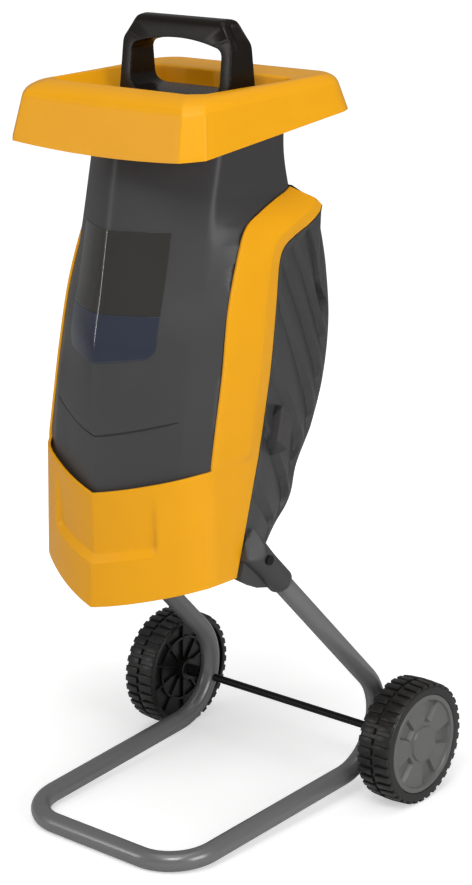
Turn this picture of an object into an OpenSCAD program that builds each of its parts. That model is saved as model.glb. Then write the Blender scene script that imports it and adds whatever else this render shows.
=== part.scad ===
// Garden shredder: hopper and motor housing on a bent tube stand with two wheels.
// The stand rests on the ground at z = 0, +Z is up and the front is -Y.

/* [Stand] */
// Outside diameter of the bent tube
tube_d = 25; // [22:0.5:28]
// Wall of the bent tube
tube_wall = 2; // [1.2:0.1:3]
// Level distance from the front bar to the axle
base_depth = 366; // [340:1:390]
// How far the rails' centres lie outside the housing's half width where they leave the front corners
rail_out = 0.5; // [-4:0.5:4]
// Angle at which each rail spreads outwards to the rear
splay = 1.5; // [0:0.1:2]
// Angle at which the rails rise to the rear
rail_lean = 4; // [3:0.1:5]
// Centreline radius of the front corners
corner_r = 60; // [45:1:75]
// Centreline radius of the rear bends
rear_bend_r = 72; // [66:1:78]
// Angle of the legs above the ground
leg_angle = 45.5; // [43:0.5:48]
// Length of each leg from the rear bend to the leg screw
leg_l = 298; // [280:1:310]
// How far each leg runs past its screw
leg_tail = 22; // [18:1:24]

/* [Wheels] */
// Diameter over the tread
wheel_d = 160; // [140:1:170]
// Width of a wheel
wheel_w = 48; // [40:1:54]
// How far the wheel centres lie outside the front of the rails
wheel_out = 65.5; // [62:0.5:72]
// Height of the tread bars
tread_h = 2.5; // [1.5:0.5:4]
// Number of tread bars in each row
tread_n = 36; // [24:2:48]
// Thickness of the band under the tread
wheel_rim = 8; // [6:0.5:10]
// Width of the side wall round a hub cap
side_wall = 13; // [11:0.5:16]
// Diameter of the axle rod
axle_d = 10; // [8:0.5:12]
// Diameter of the hub boss
boss_d = 30; // [24:1:36]
// Thickness of the wheel web
web_t = 5; // [4:0.5:6]
// Number of pockets in a hub cap
pocket_n = 5; // [4:1:7]

/* [Housing] */
// Wall of the moulded shells
shell_t = 3.5; // [2.5:0.25:4.5]
// Height of the middle of the lower edge
skirt_z = 314; // [306:1:322]
// Height of the middle of the step between the front cover and the panel
step_z = 454; // [445:1:462]
// How much that edge climbs for each millimetre sideways
chevron_rise = 0.2; // [0.1:0.02:0.26]
// How far the front cover stands proud of the panel
cover_proud = 7; // [5:0.5:9]
// Half width of the feed tower at its front corners
tower_half = 100; // [97:0.5:103]
// Height of the top of the feed tower
tower_top = 876; // [870:1:882]
// Rear face of the feed tower's neck
tower_back = 18; // [14:1:22]
// Half width of the housing at the band
body_half = 132; // [128:0.5:136]
// How far the slats of the rear shell stand out
slat_h = 5; // [3:0.5:7]
// Number of slats on each side
slat_n = 5; // [3:1:5]

/* [Hopper] */
// Half width of the hopper's lower edge
hopper_half = 150; // [145:1:156]
// Front of the hopper's lower edge
hopper_front = -205; // [-212:1:-198]
// Rear of the hopper's lower edge
hopper_back = 88; // [80:1:96]
// Height of the lower edge at the front
hopper_low = 852; // [846:1:858]
// Height of the ridge of the rim at the front
rim_z = 921; // [914:1:928]
// Chamfer of the front corners
hopper_chamfer = 21; // [15:1:28]
// How far the feed opening lies inside the sides of the feed tower
feed_in = 12; // [12:0.5:20]
// Depth of the feed opening
feed_depth = 60; // [54:0.5:62]
// Place of the middle of the feed opening
feed_y = -46; // [-49:0.5:-44]

/* [Plunger] */
// Height of the handle above its collar
handle_h = 105; // [95:1:120]
// How far the legs of the handle lie inside the feed opening
handle_in = 3; // [2:0.5:8]
// Width of each leg of the handle
handle_leg = 16; // [13:1:27]
// Lower end of the paddle
paddle_low = 745; // [730:1:780]

/* [Cutting unit] */
// Diameter of the blade disc
disc_d = 180; // [170:1:184]
// Thickness of the blade disc
disc_t = 6; // [5:0.5:8]
// Top of the motor deck
deck_top = 620; // [616:1:626]
// Thickness of the motor deck
deck_t = 8; // [6:0.5:10]
// Height of the cutting chamber
chamber_h = 48; // [44:1:52]
// Length of a blade
blade_l = 62; // [56:1:66]
// Width of a blade
blade_w = 26; // [22:1:30]
// Outside diameter of the motor
motor_d = 98; // [90:1:100]
// Length of the motor can
motor_l = 112; // [104:1:114]
// Diameter of the motor shaft
shaft_d = 16; // [14:0.5:18]

/* [Controls] */
// Width of the switch housing
switch_w = 84; // [76:1:96]
// Height of the switch housing
switch_h = 74; // [70:1:84]
// Diameter of the reset button
reset_d = 12; // [10:0.5:14]
// Diameter of the hopper lock knob
knob_d = 50; // [44:1:52]

/* [Clearances] */
// Gap between pieces that are fixed beside each other
gap = 0.3; // [0.2:0.05:0.5]
// Radial gap of a running fit
run = 0.06; // [0.03:0.01:0.09]
// Hairline between the straight and the bent lengths of the stand tube
seam = 0.05; // [0.02:0.01:0.1]

/* [Hidden] */
$fn = 64;
yellow = "#f0ad20";
dark = "#47474a";
black = "#1f1a17";
steel = "#8a8a8c";

tube_r = tube_d / 2;
axle_r = axle_d / 2;
wheel_r = wheel_d / 2;
front_half = body_half + rail_out;
wheel_x = front_half + wheel_out;
track = 2 * wheel_x;
axle_z = wheel_r;
// The outline of the stand and wheels is centred over the origin.
axle_y = (base_depth + tube_r - wheel_r) / 2;
front_y = axle_y - base_depth;

// The rear bend meets the axle: its start is found in the plane of the rails.
axle_along = base_depth * cos(rail_lean) + (axle_z - tube_r) * sin(rail_lean);
axle_above = (axle_z - tube_r) * cos(rail_lean) - base_depth * sin(rail_lean);
rail_end = axle_along - sqrt(pow(rear_bend_r, 2) - pow(rear_bend_r - axle_above, 2));
corner_sweep = 90 - splay;
corner_x = front_half - corner_r;
rail_start = [corner_x + corner_r * cos(splay), corner_r - corner_r * sin(splay)];
rail_l = (rail_end - rail_start[1]) / cos(splay);
bend_sweep = 180 - leg_angle - rail_lean;

// Place of a leg screw, worked out along the rail, the bend and the leg
seat_along = rail_l + rear_bend_r * sin(bend_sweep) + leg_l * cos(bend_sweep);
seat_above = rear_bend_r * (1 - cos(bend_sweep)) + leg_l * sin(bend_sweep);
seat_plan = rail_start + seat_along * [sin(splay), cos(splay)];
seat = [
    seat_plan[0],
    front_y + seat_plan[1] * cos(rail_lean) - seat_above * sin(rail_lean),
    tube_r + seat_plan[1] * sin(rail_lean) + seat_above * cos(rail_lean)
];
// Place of the leg screws on the drawing of the housing, which is moved to meet the legs
seat_drawn = [-76, 369];

module in_body() {
    translate([0, seat[1] - seat_drawn[0], seat[2] - seat_drawn[1]]) children();
}

// Stand fittings
leg_screw_r = 3;
socket_t = 3.8;
socket_l = 58;
socket_past = 16;
// Outline of a socket's web, as depth and height on the drawing of the housing
socket_web = [[-50, 324], [-79, 331], [-108.5, 348], [-91.5, 404], [-30, 340]];
spacer_t = 3;
// Outer side of the tube beside the axle, over the height of a spacer
spacer_reach = axle_along - corner_r + axle_r + spacer_t;
spacer_from = front_half + spacer_reach * tan(splay) + tube_r / cos(splay) + gap;

// Wheel details; bars and pockets take part of their pitch
tyre_r = wheel_r - tread_h;
rim_in = tyre_r - wheel_rim;
tread_gap = 4;
bar_foot = 0.68;
bar_head = 0.6;
bar_root = 0.5;
shoulder_w = 5;
shoulder_h = 3.5;
web_low = -9;
web_rib_n = 10;
web_rib_t = 3;
web_rib_h = 4;
web_ring_r = 45;
cap_t = 10;
cap_r = tyre_r - side_wall - gap;
cap_rim = 6;
cap_face = 2.5;
cap_boss_d = 44;
field_depth = 2;
pocket_depth = 6;
pocket_inner = cap_boss_d / 2 + 7;
pocket_outer = cap_r - 9;
pocket_part = 0.38;
hub_turn = 16;
nut_t = 4;
boss_out = wheel_x + wheel_w / 2 - cap_t - gap;
axle_end = boss_out + nut_t + 1;

// Shapes of the shells
chevron_curl = 0.0006;
bow_power = 1.4;
// Front edge of the side band: a place on it, as depth and height, and its slope
band_lean = [-154.5, 484, 0.184];
shoulder_z = 762;
tower_corner_r = 30;
// How far the panel runs under the band and behind the step, and where the neck's side turns
panel_lap = 8;
panel_tuck = 12;
panel_in = 1.5;
neck_flare = 0.5;
neck_edge_y = -75;
tower_crease_keys = [[step_z, -211], [624, -209], [692, -196], [850, -168], [tower_top, -163]];
tower_sweep_keys = [[step_z, 35], [540, 44], [600, 55], [690, 61], [tower_top, 69]];
band_front_x = body_half - 0.5;
step_front = tower_crease_keys[0][1] - cover_proud;
// Front cover at its lower edge and at the step: half width, middle and sweep of the bowed front,
// then the points in plan from its corner back along the side
fascia_keys = [
    [
        [body_half - 12, -222, 50],
        [[body_half - 3, -160], [body_half, -145], [body_half + 0.5, -126], [body_half, -111]]
    ],
    [
        [body_half - 20, step_front, 40],
        [[body_half - 8, -167], [band_front_x, -154], [body_half + 1, -100], [body_half, -72]]
    ]
];
// Place between the neck (0) and the front edge of the band (1)
function shoulder_x(f) = tower_half + (band_front_x - tower_half) * f;
// Front and rear edge of the side band, upwards from the step and back over the shoulder
band_keys = [
    fascia_edges(),
    [[band_front_x, -145, 540], [body_half, -61, 540]],
    [[band_front_x, -133.5, 600], [body_half, -49, 600]],
    [[shoulder_x(0.89), -119, 675], [body_half, -40, 670]],
    [[shoulder_x(0.78), -95, 742], [body_half - 1, -34, 714]],
    [[shoulder_x(0.64), -78, 764], [body_half - 1.5, -24, 733]],
    [[shoulder_x(0.51), -48, 777], [body_half - 2, -3, 744]],
    [[shoulder_x(0.35), -18, 786], [body_half - 2.5, 22, 753]],
    [[shoulder_x(0.22), 6, 792], [body_half - 4, 42, 763]],
    [[shoulder_x(0.16), 16, 796], [body_half - 7, 52, 772]]
];
// Place of the facet's edge across the band, and how far it stands out along the band
facet_at = 0.72;
facet_keys = [[0, 1.5], [4, 2.5], [7, 7], [9, 5]];
// Front edge of the rear shell, just behind the rear edge of the band
rear_edge_keys = [
    [body_half - 1, -90.5, 420],
    for (p = band_keys) p[1] + [-0.5, 1.5, -1]
];
// Height and depth along the middle of the back
rear_keys = [
    [352, -28], [388, 0], [417, 29], [455, 42], [500, 71], [560, 94], [630, 103], [700, 95], [770, 82]
];
rear_low = 352;
rear_lift = 24;
rear_top = 768;
rear_half = body_half - 14;
// Radius of the rear corners along the rows, from the lower edge to the top
rear_corner_keys = [[0, 40], [0.7, 40], [1, 20]];
rear_crown = 1;
neck_gap = 1.5;
rear_swell = 2;
// Slats: front end of the lowest one, spacing, width, fall to the rear and ends along the rows
slat_first = 0.36;
slat_pitch = 0.13;
slat_w = 0.115;
slat_fall = 0.42;
slat_front = 0.97;
slat_rear = 0.45;
slat_root = 1.2;
// Side boss: outline as depth and height, and its reach sideways
boss_outline = [[-44, 500], [-15, 538], [1, 523], [-6, 486], [-33, 482]];
boss_from = body_half - 10;
boss_to = body_half + 4;
boss_screw = [-20, 508];
house_screw_r = 2.5;
// Label: half width, lowest point, half width and height of its straight lower edges, corner
label_half = 67;
label_low = 608;
label_point = [60, 10];
label_corner = 20;
label_t = 0.8;
// Rows of the panel under the label, and columns as parts of the way to its corner
label_levels = [
    label_low - 4, label_low + 32, label_low + 72, shoulder_z - 42, shoulder_z - 20, shoulder_z
];
panel_stops = [0, 0.25, 0.5, label_half / tower_half, 0.93];

// Hopper and plunger details
floor_z = tower_top + shell_t + gap;
feed_half = tower_half - feed_in;
floor_in = 4.5;
floor_half = tower_half - floor_in;
floor_front = -101;
floor_back = tower_back - 4;
lip_h = 12;
feed_front = feed_y - feed_depth / 2;
feed_back = feed_y + feed_depth / 2;
// Rings of the hopper, from its lower edge over the rim and down the bowl into the feed opening:
// half width, front, rear, chamfer of the front corners, radius of the rear ones,
// height at the front, climb to the rear for each millimetre, dip in the middle of the front
hopper_keys = [
    [hopper_half, hopper_front, hopper_back, hopper_chamfer, 32, hopper_low, 0.115, 5],
    [hopper_half - 9, hopper_front + 12, hopper_back - 8, hopper_chamfer - 3, 30, rim_z - 18, 0.045, 2],
    [hopper_half - 13, hopper_front + 17, hopper_back - 11, hopper_chamfer - 4, 28, rim_z - 10, 0.04, 0],
    [hopper_half - 22, hopper_front + 30, hopper_back - 21, hopper_chamfer - 5, 26, rim_z - 3, 0.038, 0],
    [hopper_half - 32, hopper_front + 43, floor_back + 3, hopper_chamfer - 6, 24, rim_z, 0.008, 0],
    [floor_half + 9, floor_front - 22, floor_back + 1.5, 12, 14, rim_z - 28, 0, 0],
    [floor_half, floor_front, floor_back, 7, 7, floor_z, 0, 0],
    [feed_half, feed_front, feed_back, 3, 3, floor_z, 0, 0],
    [feed_half, feed_front, feed_back, 3, 3, floor_z - lip_h, 0, 0]
];
paddle_gap = 4;
collar_z = floor_z + gap;
collar_t = 6;
collar_w = 2 * (feed_half + 4);
collar_depth = feed_depth + 12;
grip_top = collar_z + collar_t + handle_h;
// Handle: half depth at its foot, shoulder and top, and the slope of its shoulders
handle_half = feed_half - handle_in;
window_half = handle_half - handle_leg;
foot_deep = 26;
shoulder_deep = 18;
grip_deep = 15;
shoulder_drop = 29;
shoulder_in = 10;
handle_lean = 1;
// Finger window: height of its sill, thickness of the grip at its corners, corners and arch
window_sill = 18;
grip_t = 34;
window_r = 14;
arch_h = 9;

// Cutting unit details
shaft_r = shaft_d / 2;
thread_r = 6;
nut_h = 9;
nut_r = 1.4 * shaft_r;
cover_t = 5;
cover_top = deck_top + chamber_h + cover_t;
disc_gap = 2.5;
chamber_r = disc_d / 2 + disc_gap;
ring_t = 3.5;
outlet_half = 60;
outlet_h = 30;
mouth_half = 45;
disc_lift = 12;
disc_low = deck_top + disc_lift;
blade_mid = 52;
blade_t = 4;
blade_head_h = 1.5;
bevel_angle = 30;
blade_top = disc_low + disc_t + blade_t + blade_head_h;
chip_slot = 8;
blade_gap = 2;
counter_w = 10;
counter_in = 4;
blade_screw_r = 3;
blade_holes = [-6, 4];

// Motor details
bearing_r = 16;
low_bearing_r = 13;
low_bearing_h = 10;
cap_h = 20;
can_t = 4;
flange_w = 10;
flange_t = 5;
core_gap = 10;
core_low = 14;
core_top = 34;
fan_drop = 28;
fan_h = 18;
fan_hub = 5;
fan_r = motor_d / 2 - can_t - 3;
vane_n = 8;
vane_t = 2;
bolt_r = 2.5;
bolt_grip = 5;
// Radius of a small screw's head for each millimetre of its shank's
head_ratio = 1.7;
shaft_end = 1.5;
shaft_low = deck_top - deck_t - motor_l - cap_h + can_t + shaft_end;
// Side brackets stand clear of the walls of the front cover
bracket_in = 9.8;
bracket_x = body_half - shell_t - bracket_in;
bracket_t = 4;
bracket_w = 24;
bracket_foot = 20;
bracket_low = 352;
deck_front = -100;
deck_wing = 40;
deck_rim = 3;
deck_screw_at = [6, 18];
shield_side = 2.7;
shield_half = bracket_x - bracket_t - shield_side;
shield_y = -66;
shield_h = 130;

// Control details
switch_z = rear_keys[6][0];
switch_y = rear_keys[6][1] + rear_crown + gap;
switch_deep = 26;
switch_face = 6;
switch_wall = 3;
rocker_x = -26;
rocker_w = 20;
rocker_h = 30;
rocker_in = 5;
rocker_out = 5.5;
rocker_hollow = 3;
rocker_taper = 4;
rocker_play = 4;
pivot_r = 2;
pivot_l = 2;
pivot_in = 3;
pivot_y = switch_deep - pivot_in;
reset_x = -2;
reset_z = 14;
reset_out = 5;
reset_in = 4;
inlet_x = 24;
inlet_w = 26;
inlet_h = 36;
inlet_deep = 20;
inlet_back = 4;
pin_r = 2;
pin_pitch = 7;
lock_z = 832;
lock_stud_r = 5;
stud_flange = 5;
knob_h = 20;
knob_gap = 1;
knob_cap = 4;
knob_grips = 8;
knob_grip_r = 6;

// Points and walls

// Index of the stretch of a list of [place, value] keys that holds t
function stretch(keys, t, i = 0) =
    i >= len(keys) - 2 || t < keys[i + 1][0] ? i : stretch(keys, t, i + 1);

// Slope of the keys at index i
function slope(keys, i) =
    let (a = max(i - 1, 0), b = min(i + 1, len(keys) - 1))
    (keys[b][1] - keys[a][1]) / (keys[b][0] - keys[a][0]);

// Smooth value at t through a list of [place, value] keys
function curve(keys, at) =
    let (t = min(max(at, keys[0][0]), keys[len(keys) - 1][0]))
    let (i = stretch(keys, t), p = keys[i], q = keys[i + 1], d = q[0] - p[0])
    let (f = (t - p[0]) / d, g = 1 - f)
    p[1] * (g * g * (1 + 2 * f)) + q[1] * (f * f * (1 + 2 * g))
        + slope(keys, i) * (d * f * g * g) - slope(keys, i + 1) * (d * f * f * g);

// Smooth point at t along a list of points, where t counts the points
function along(points, t) = curve([for (i = [0 : len(points) - 1]) [i, points[i]]], t);

function mirrored(p) = [-p[0], p[1], p[2]];
function flat(list) = [for (row = list) for (p = row) p];
function unit(v) = v / norm(v);

// Row from the left edge to the right edge, from the points of its right half
function both_sides(half) =
    concat([for (i = [len(half) - 1 : -1 : 1]) mirrored(half[i])], half);

// Outward direction at one point of a grid
function facing(grid, r, c, ring) =
    let (rows = len(grid), cols = len(grid[0]))
    let (before = ring ? (c + cols - 1) % cols : max(c - 1, 0))
    let (after = ring ? (c + 1) % cols : min(c + 1, cols - 1))
    let (across = grid[r][after] - grid[r][before])
    let (up = grid[min(r + 1, rows - 1)][c] - grid[max(r - 1, 0)][c])
    unit(cross(across, up));

function moved_in(grid, t, ring) = [
    for (r = [0 : len(grid) - 1])
        [for (c = [0 : len(grid[0]) - 1]) grid[r][c] - t * facing(grid, r, c, ring)]
];

// Solid between an outer and an inner grid of points; keep says which cells exist.
module between(grid, inner, ring, keep) {
    rows = len(grid);
    cols = len(grid[0]);
    cells = ring ? cols : cols - 1;
    at = function(side, r, c) side * rows * cols + r * cols + c % cols;
    live = function(r, c)
        r >= 0 && r < rows - 1 && (ring || (c >= 0 && c < cells)) && keep(r, (c + cells) % cells);
    quads = [
        for (r = [0 : rows - 2])
            for (c = [0 : cells - 1])
                if (live(r, c))
                    let (a = [r, c], b = [r, c + 1], d = [r + 1, c], e = [r + 1, c + 1])
                    each [
                        [at(0, a[0], a[1]), at(0, b[0], b[1]), at(0, e[0], e[1]), at(0, d[0], d[1])],
                        [at(1, a[0], a[1]), at(1, d[0], d[1]), at(1, e[0], e[1]), at(1, b[0], b[1])],
                        for (edge = [[a, b, -1, 0], [b, e, 0, 1], [e, d, 1, 0], [d, a, 0, -1]])
                            if (!live(r + edge[2], c + edge[3]))
                                let (p = edge[0], q = edge[1])
                                [at(0, q[0], q[1]), at(0, p[0], p[1]), at(1, p[0], p[1]), at(1, q[0], q[1])]
                    ]
    ];
    faces = [for (q = quads) each [[q[2], q[1], q[0]], [q[3], q[2], q[0]]]];
    polyhedron(concat(flat(grid), flat(inner)), faces);
}

// Wall of even thickness behind a grid of points
module wall(grid, t, ring = false, keep = function(r, c) true) {
    between(grid, moved_in(grid, t, ring), ring, keep);
}

// Stand

module base_plane() {
    translate([0, front_y, tube_r]) rotate([rail_lean, 0, 0]) children();
}

// Frame of one side's rail: +Y runs along the rail to the rear
module rail_frame() {
    base_plane() translate([rail_start[0], rail_start[1], 0]) rotate([0, 0, -splay]) children();
}

// Frame of one side's leg: +Z runs up the leg from the end of the rear bend
module leg_frame() {
    rail_frame()
        translate([0, rail_l + rear_bend_r * sin(bend_sweep), rear_bend_r * (1 - cos(bend_sweep))])
            rotate([bend_sweep - 90, 0, 0]) children();
}

module on_both_sides() {
    children();
    mirror([1, 0, 0]) children();
}

// Solid rod along the front bar and its two corners
module bow_rod(r) {
    base_plane() {
        rotate([0, 90, 0]) cylinder(r = r, h = 2 * corner_x, center = true);
        on_both_sides() translate([corner_x, corner_r, 0]) rotate([0, 0, -90])
            rotate_extrude(angle = corner_sweep) translate([corner_r, 0]) circle(r);
    }
}

// Solid rod along one rail, its rear bend and its leg
module leg_rod(r) {
    rail_frame() {
        translate([0, seam, 0]) rotate([-90, 0, 0]) cylinder(r = r, h = rail_l - 2 * seam);
        translate([0, rail_l, rear_bend_r]) rotate([90, 0, 90]) rotate([0, 0, -90])
            rotate_extrude(angle = bend_sweep) translate([rear_bend_r, 0]) circle(r);
    }
    leg_frame() translate([0, 0, seam]) rotate([0, 0, 90]) cylinder(r = r, h = leg_l + leg_tail - seam);
}

module axle_bar(r, l) {
    translate([0, axle_y, axle_z]) rotate([0, 90, 0]) cylinder(r = r, h = l, center = true);
}

module axle_hole() {
    axle_bar(axle_r + gap / 2, track + 2 * wheel_w);
}

// Cylinder across a leg at its screw, from the leg's middle outwards
module leg_screw_bar(r, from, to) {
    leg_frame() translate([from, 0, leg_l]) rotate([0, 90, 0]) cylinder(r = r, h = to - from);
}

module front_bow() {
    color(steel) difference() {
        bow_rod(tube_r);
        bow_rod(tube_r - tube_wall);
    }
}

module leg_tube() {
    difference() {
        leg_rod(tube_r);
        leg_rod(tube_r - tube_wall);
        axle_hole();
        leg_screw_bar(leg_screw_r + gap / 2, 0, tube_d);
    }
}

module left_leg_tube() { color(steel) mirror([1, 0, 0]) leg_tube(); }
module right_leg_tube() { color(steel) leg_tube(); }

module axle() {
    color(black) axle_bar(axle_r, 2 * axle_end);
}

// Sleeves that keep the wheels clear of the tube
module axle_spacers() {
    color(black) on_both_sides() difference() {
        axle_sleeve(axle_r + spacer_t, spacer_from, wheel_x - wheel_w / 2 - gap);
        axle_hole();
    }
}

module axle_sleeve(r, from, to) {
    translate([from, axle_y, axle_z]) rotate([0, 90, 0]) cylinder(r = r, h = to - from);
}

module axle_push_nuts() {
    color(steel) on_both_sides() difference() {
        axle_sleeve(boss_d / 3, boss_out + gap, boss_out + nut_t);
        axle_hole();
    }
}

// Wheels

// Outline of one row of tread bars, turned by part of a pitch
module tread_2d(turn) {
    pitch = 360 / tread_n;
    foot_r = tyre_r - bar_root;
    steps = [[-bar_foot, foot_r], [-bar_head, wheel_r], [bar_head, wheel_r], [bar_foot, foot_r]];
    polygon([
        for (i = [0 : tread_n - 1])
            for (s = steps)
                let (a = pitch * (i + turn + s[0] / 2))
                [s[1] * cos(a), s[1] * sin(a)]
    ]);
}

// Row of tread bars between the middle of the tyre and its outer shoulder
module tread_row(turn) {
    low = tread_gap / 2;
    translate([0, 0, low]) linear_extrude(wheel_w / 2 - low - shoulder_w) difference() {
        tread_2d(turn);
        circle(tyre_r - wheel_rim / 2);
    }
}

// Half section of the tyre: band, rounded-off shoulders and the side wall round the hub cap
module tyre_2d() {
    half = wheel_w / 2;
    lip = half - cap_t - gap;
    polygon([
        [rim_in, -half], [tyre_r - shoulder_h, -half], [tyre_r, shoulder_w - half],
        [tyre_r, half - shoulder_w], [tyre_r - shoulder_h, half],
        [cap_r + gap, half], [cap_r + gap, lip], [rim_in, lip - wheel_rim]
    ]);
}

// Wheel about the Z axis, with its outer face up
module wheel_body() {
    half = wheel_w / 2;
    difference() {
        union() {
            rotate_extrude() tyre_2d();
            tread_row(0);
            mirror([0, 0, 1]) tread_row(0.5);
            axis_cylinder(rim_in + wheel_rim / 2, web_low, web_low + web_t);
            axis_cylinder(boss_d / 2, -half, boss_out - wheel_x);
            web_ribs();
        }
        axis_cylinder(axle_r + run, -wheel_w, wheel_w);
    }
}

// Low ribs on the inner side of the web: spokes and a ring
module web_ribs() {
    low = web_low - web_rib_h;
    from = boss_d / 2 - 1;
    for (i = [0 : web_rib_n - 1]) rotate(360 / web_rib_n * i) translate([from, -web_rib_t / 2, low])
        cube([rim_in + 1 - from, web_rib_t, web_rib_h + 1]);
    difference() {
        axis_cylinder(web_ring_r, low, web_low + 1);
        axis_cylinder(web_ring_r - web_rib_t, low - 1, web_low + 2);
    }
}

// Grey cover that fills the outer face of a wheel
module hub_cap_body() {
    top = wheel_w / 2;
    difference() {
        axis_cylinder(cap_r, top - cap_t, top);
        axis_cylinder(boss_d / 2 + 2, top - 2 * cap_t, top - cap_face);
        difference() {
            axis_cylinder(cap_r - cap_rim, top - field_depth, top + 1);
            axis_cylinder(cap_boss_d / 2, top - cap_t, top + 2);
        }
        for (i = [0 : pocket_n - 1]) rotate(360 / pocket_n * i + hub_turn)
            translate([0, 0, top - pocket_depth]) linear_extrude(pocket_depth) pocket_2d();
    }
}

// Trapezoid pocket, as wide as its part of the pitch at both radii
module pocket_2d() {
    share = pocket_part * PI / pocket_n;
    polygon([
        [pocket_inner, -share * pocket_inner], [pocket_outer, -share * pocket_outer],
        [pocket_outer, share * pocket_outer], [pocket_inner, share * pocket_inner]
    ]);
}

module at_wheel(side) {
    translate([side * wheel_x, axle_y, axle_z]) rotate([0, side * 90, 0]) children();
}

module left_wheel() { color(black) at_wheel(-1) wheel_body(); }
module right_wheel() { color(black) at_wheel(1) wheel_body(); }
module left_hub_cap() { color(steel) at_wheel(-1) hub_cap_body(); }
module right_hub_cap() { color(steel) at_wheel(1) hub_cap_body(); }

// Housing shells

// Height that the chevron edges gain at a distance from the middle
function rise(x) = chevron_rise * abs(x) + chevron_curl * x * x;

// Point of the bowed front: fraction f of the way to a corner that is swept back
function bow(f, half, crease, sweep) = [half * f, crease + sweep * pow(f, bow_power)];

function tower_crease(h) = curve(tower_crease_keys, h);
function tower_sweep(h) = curve(tower_sweep_keys, h);
function tower_lift(h) = curve([[step_z, 1], [step_z + 100, 0.6], [shoulder_z - 40, 0]], h);

// Right half of the feed tower's outline, with its z, from the front to the back
function tower_row(h) = let (
    panel = function(f) bow(f, tower_half, tower_crease(h), tower_sweep(h)),
    band_z = h + rise(band_front_x) * tower_lift(h),
    under_band = [band_edge_x(band_z) - shell_t - panel_in, band_front_y(h) + panel_lap],
    edge = h < shoulder_z ? under_band : [tower_half + neck_flare, neck_edge_y],
    c = tower_corner_r,
    plan = concat(
        [for (f = panel_stops) panel(f)],
        [panel(1) * 0.7 + edge * 0.3 + [neck_flare, 0], edge, [tower_half, neck_edge_y / 2]],
        [for (a = [0, 30, 60, 90]) [tower_half - c + c * cos(a), tower_back - c + c * sin(a)]],
        [[0, tower_back]]
    ))
    [for (p = plan) [p[0], p[1], h + rise(p[0]) * tower_lift(h)]];

// Whole outline: down the right side, round the back and up the left side
function tower_ring(h) =
    let (half = tower_row(h), n = len(half))
    concat(half, [for (i = [n - 2 : -1 : 1]) mirrored(half[i])]);

module feed_tower() {
    levels = concat(
        [step_z - panel_tuck, step_z + 1, step_z + 14, step_z + 40, step_z + 80, step_z + 115],
        label_levels,
        [shoulder_z + 40, shoulder_z + 85, tower_top]
    );
    neck_row = 10;
    edge_col = 6;
    cols = len(tower_ring(shoulder_z));
    color(dark) in_body() difference() {
        wall([for (h = levels) tower_ring(h)], shell_t, true,
            function(r, c) r >= neck_row || c < edge_col || c >= cols - edge_col);
        translate([0, tower_back + 1, lock_z]) rotate([90, 0, 0])
            cylinder(r = lock_stud_r + gap, h = 4 * shell_t);
    }
}

// Half width over the front edges of the side bands at a height
function band_edge_x(z) = curve([for (p = band_keys) [p[0][2], p[0][0]]], z);

// Depth of the front edge of the side band below the shoulder
function band_front_y(z) = band_lean[0] + band_lean[2] * (z - band_lean[1]);

// Right half of the front cover between its lower edge (t = 0) and the step (t = 1)
function fascia_row(t) = let (
    low = fascia_keys[0],
    high = fascia_keys[1],
    shape = low[0] * (1 - t) + high[0] * t,
    base = skirt_z + (step_z - skirt_z) * t,
    plan = concat(
        [for (f = [0, 0.25, 0.5, 0.75, 1]) bow(f, shape[0], shape[1], shape[2])],
        low[1] * (1 - t) + high[1] * t
    ))
    [for (p = plan) [p[0], p[1], base + rise(p[0])]];

// Front and rear edge of the side band where it leaves the fascia
function fascia_edges() = let (top = fascia_row(1), n = len(top)) [top[n - 3], top[n - 1]];

function band_pair(k) = [
    along([for (p = band_keys) p[0]], k),
    along([for (p = band_keys) p[1]], k)
];

// Right half of a row of the band: front edge, facet edge and rear edge
function band_row(k) = let (
    pair = band_pair(k),
    out = unit(cross(pair[1] - pair[0], along_band(k))),
    facet = pair[0] * (1 - facet_at) + pair[1] * facet_at)
    [pair[0], facet + curve(facet_keys, k) * out, pair[1]];

// Direction of the band at k
function along_band(k) =
    let (a = band_pair(max(k - 0.5, 0)), b = band_pair(min(k + 0.5, len(band_keys) - 1)))
    b[0] + b[1] - a[0] - a[1];

module front_cover() {
    fascia = [for (t = [0, 0.2, 0.45, 0.7, 1]) fascia_row(t)];
    n = len(fascia[0]);
    top = fascia[len(fascia) - 1];
    // Above the step only the last three columns exist: the others repeat a raised step edge.
    spare_rise = 20;
    bands = [
        for (k = [0.5, 1, 2, 3, 3.6, 4, 4.5, 5, 5.5, 6, 6.5, 7, 7.5, 8, 8.5, 9])
            concat([for (i = [0 : n - 4]) top[i] + [0, 0, spare_rise * k]], band_row(k))
    ];
    grid = [for (row = concat(fascia, bands)) both_sides(row)];
    last = len(fascia) - 1;
    cols = 2 * n - 1;
    color(yellow) in_body()
        wall(grid, shell_t, false, function(r, c) r < last || c < 2 || c >= cols - 3);
}

// Right half of a row of the rear shell, from the middle of the back to the band
function rear_half_row(q) = let (
    c = curve(rear_corner_keys, q),
    edge = along(rear_edge_keys, q * (len(rear_edge_keys) - 1)),
    spots = [
        for (i = [0 : 5])
            let (z = (rear_low + rear_lift * i / 5) * (1 - q) + rear_top * q)
            let (y = curve(rear_keys, z), a = 90 - 22.5 * (i - 1))
            i == 0 ? [0, y + rear_crown, z] : [rear_half - c + c * cos(a), y - c + c * sin(a), z]
    ],
    start = spots[5])
    concat(spots, [(start + edge) / 2 + [rear_swell, 0, 0], edge]);

// Ledge that closes the top of the rear shell behind the neck
function rear_ledge_row() = let (last = len(rear_half_row(1)) - 1, tip = band_keys[9][0])
    [for (i = [0 : last]) [tip[0] * sqrt(i / last), tower_back + neck_gap, tip[2] + 1]];

function from_right(half) = let (row = both_sides(half), n = len(row)) [for (i = [n - 1 : -1 : 0]) row[i]];

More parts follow.
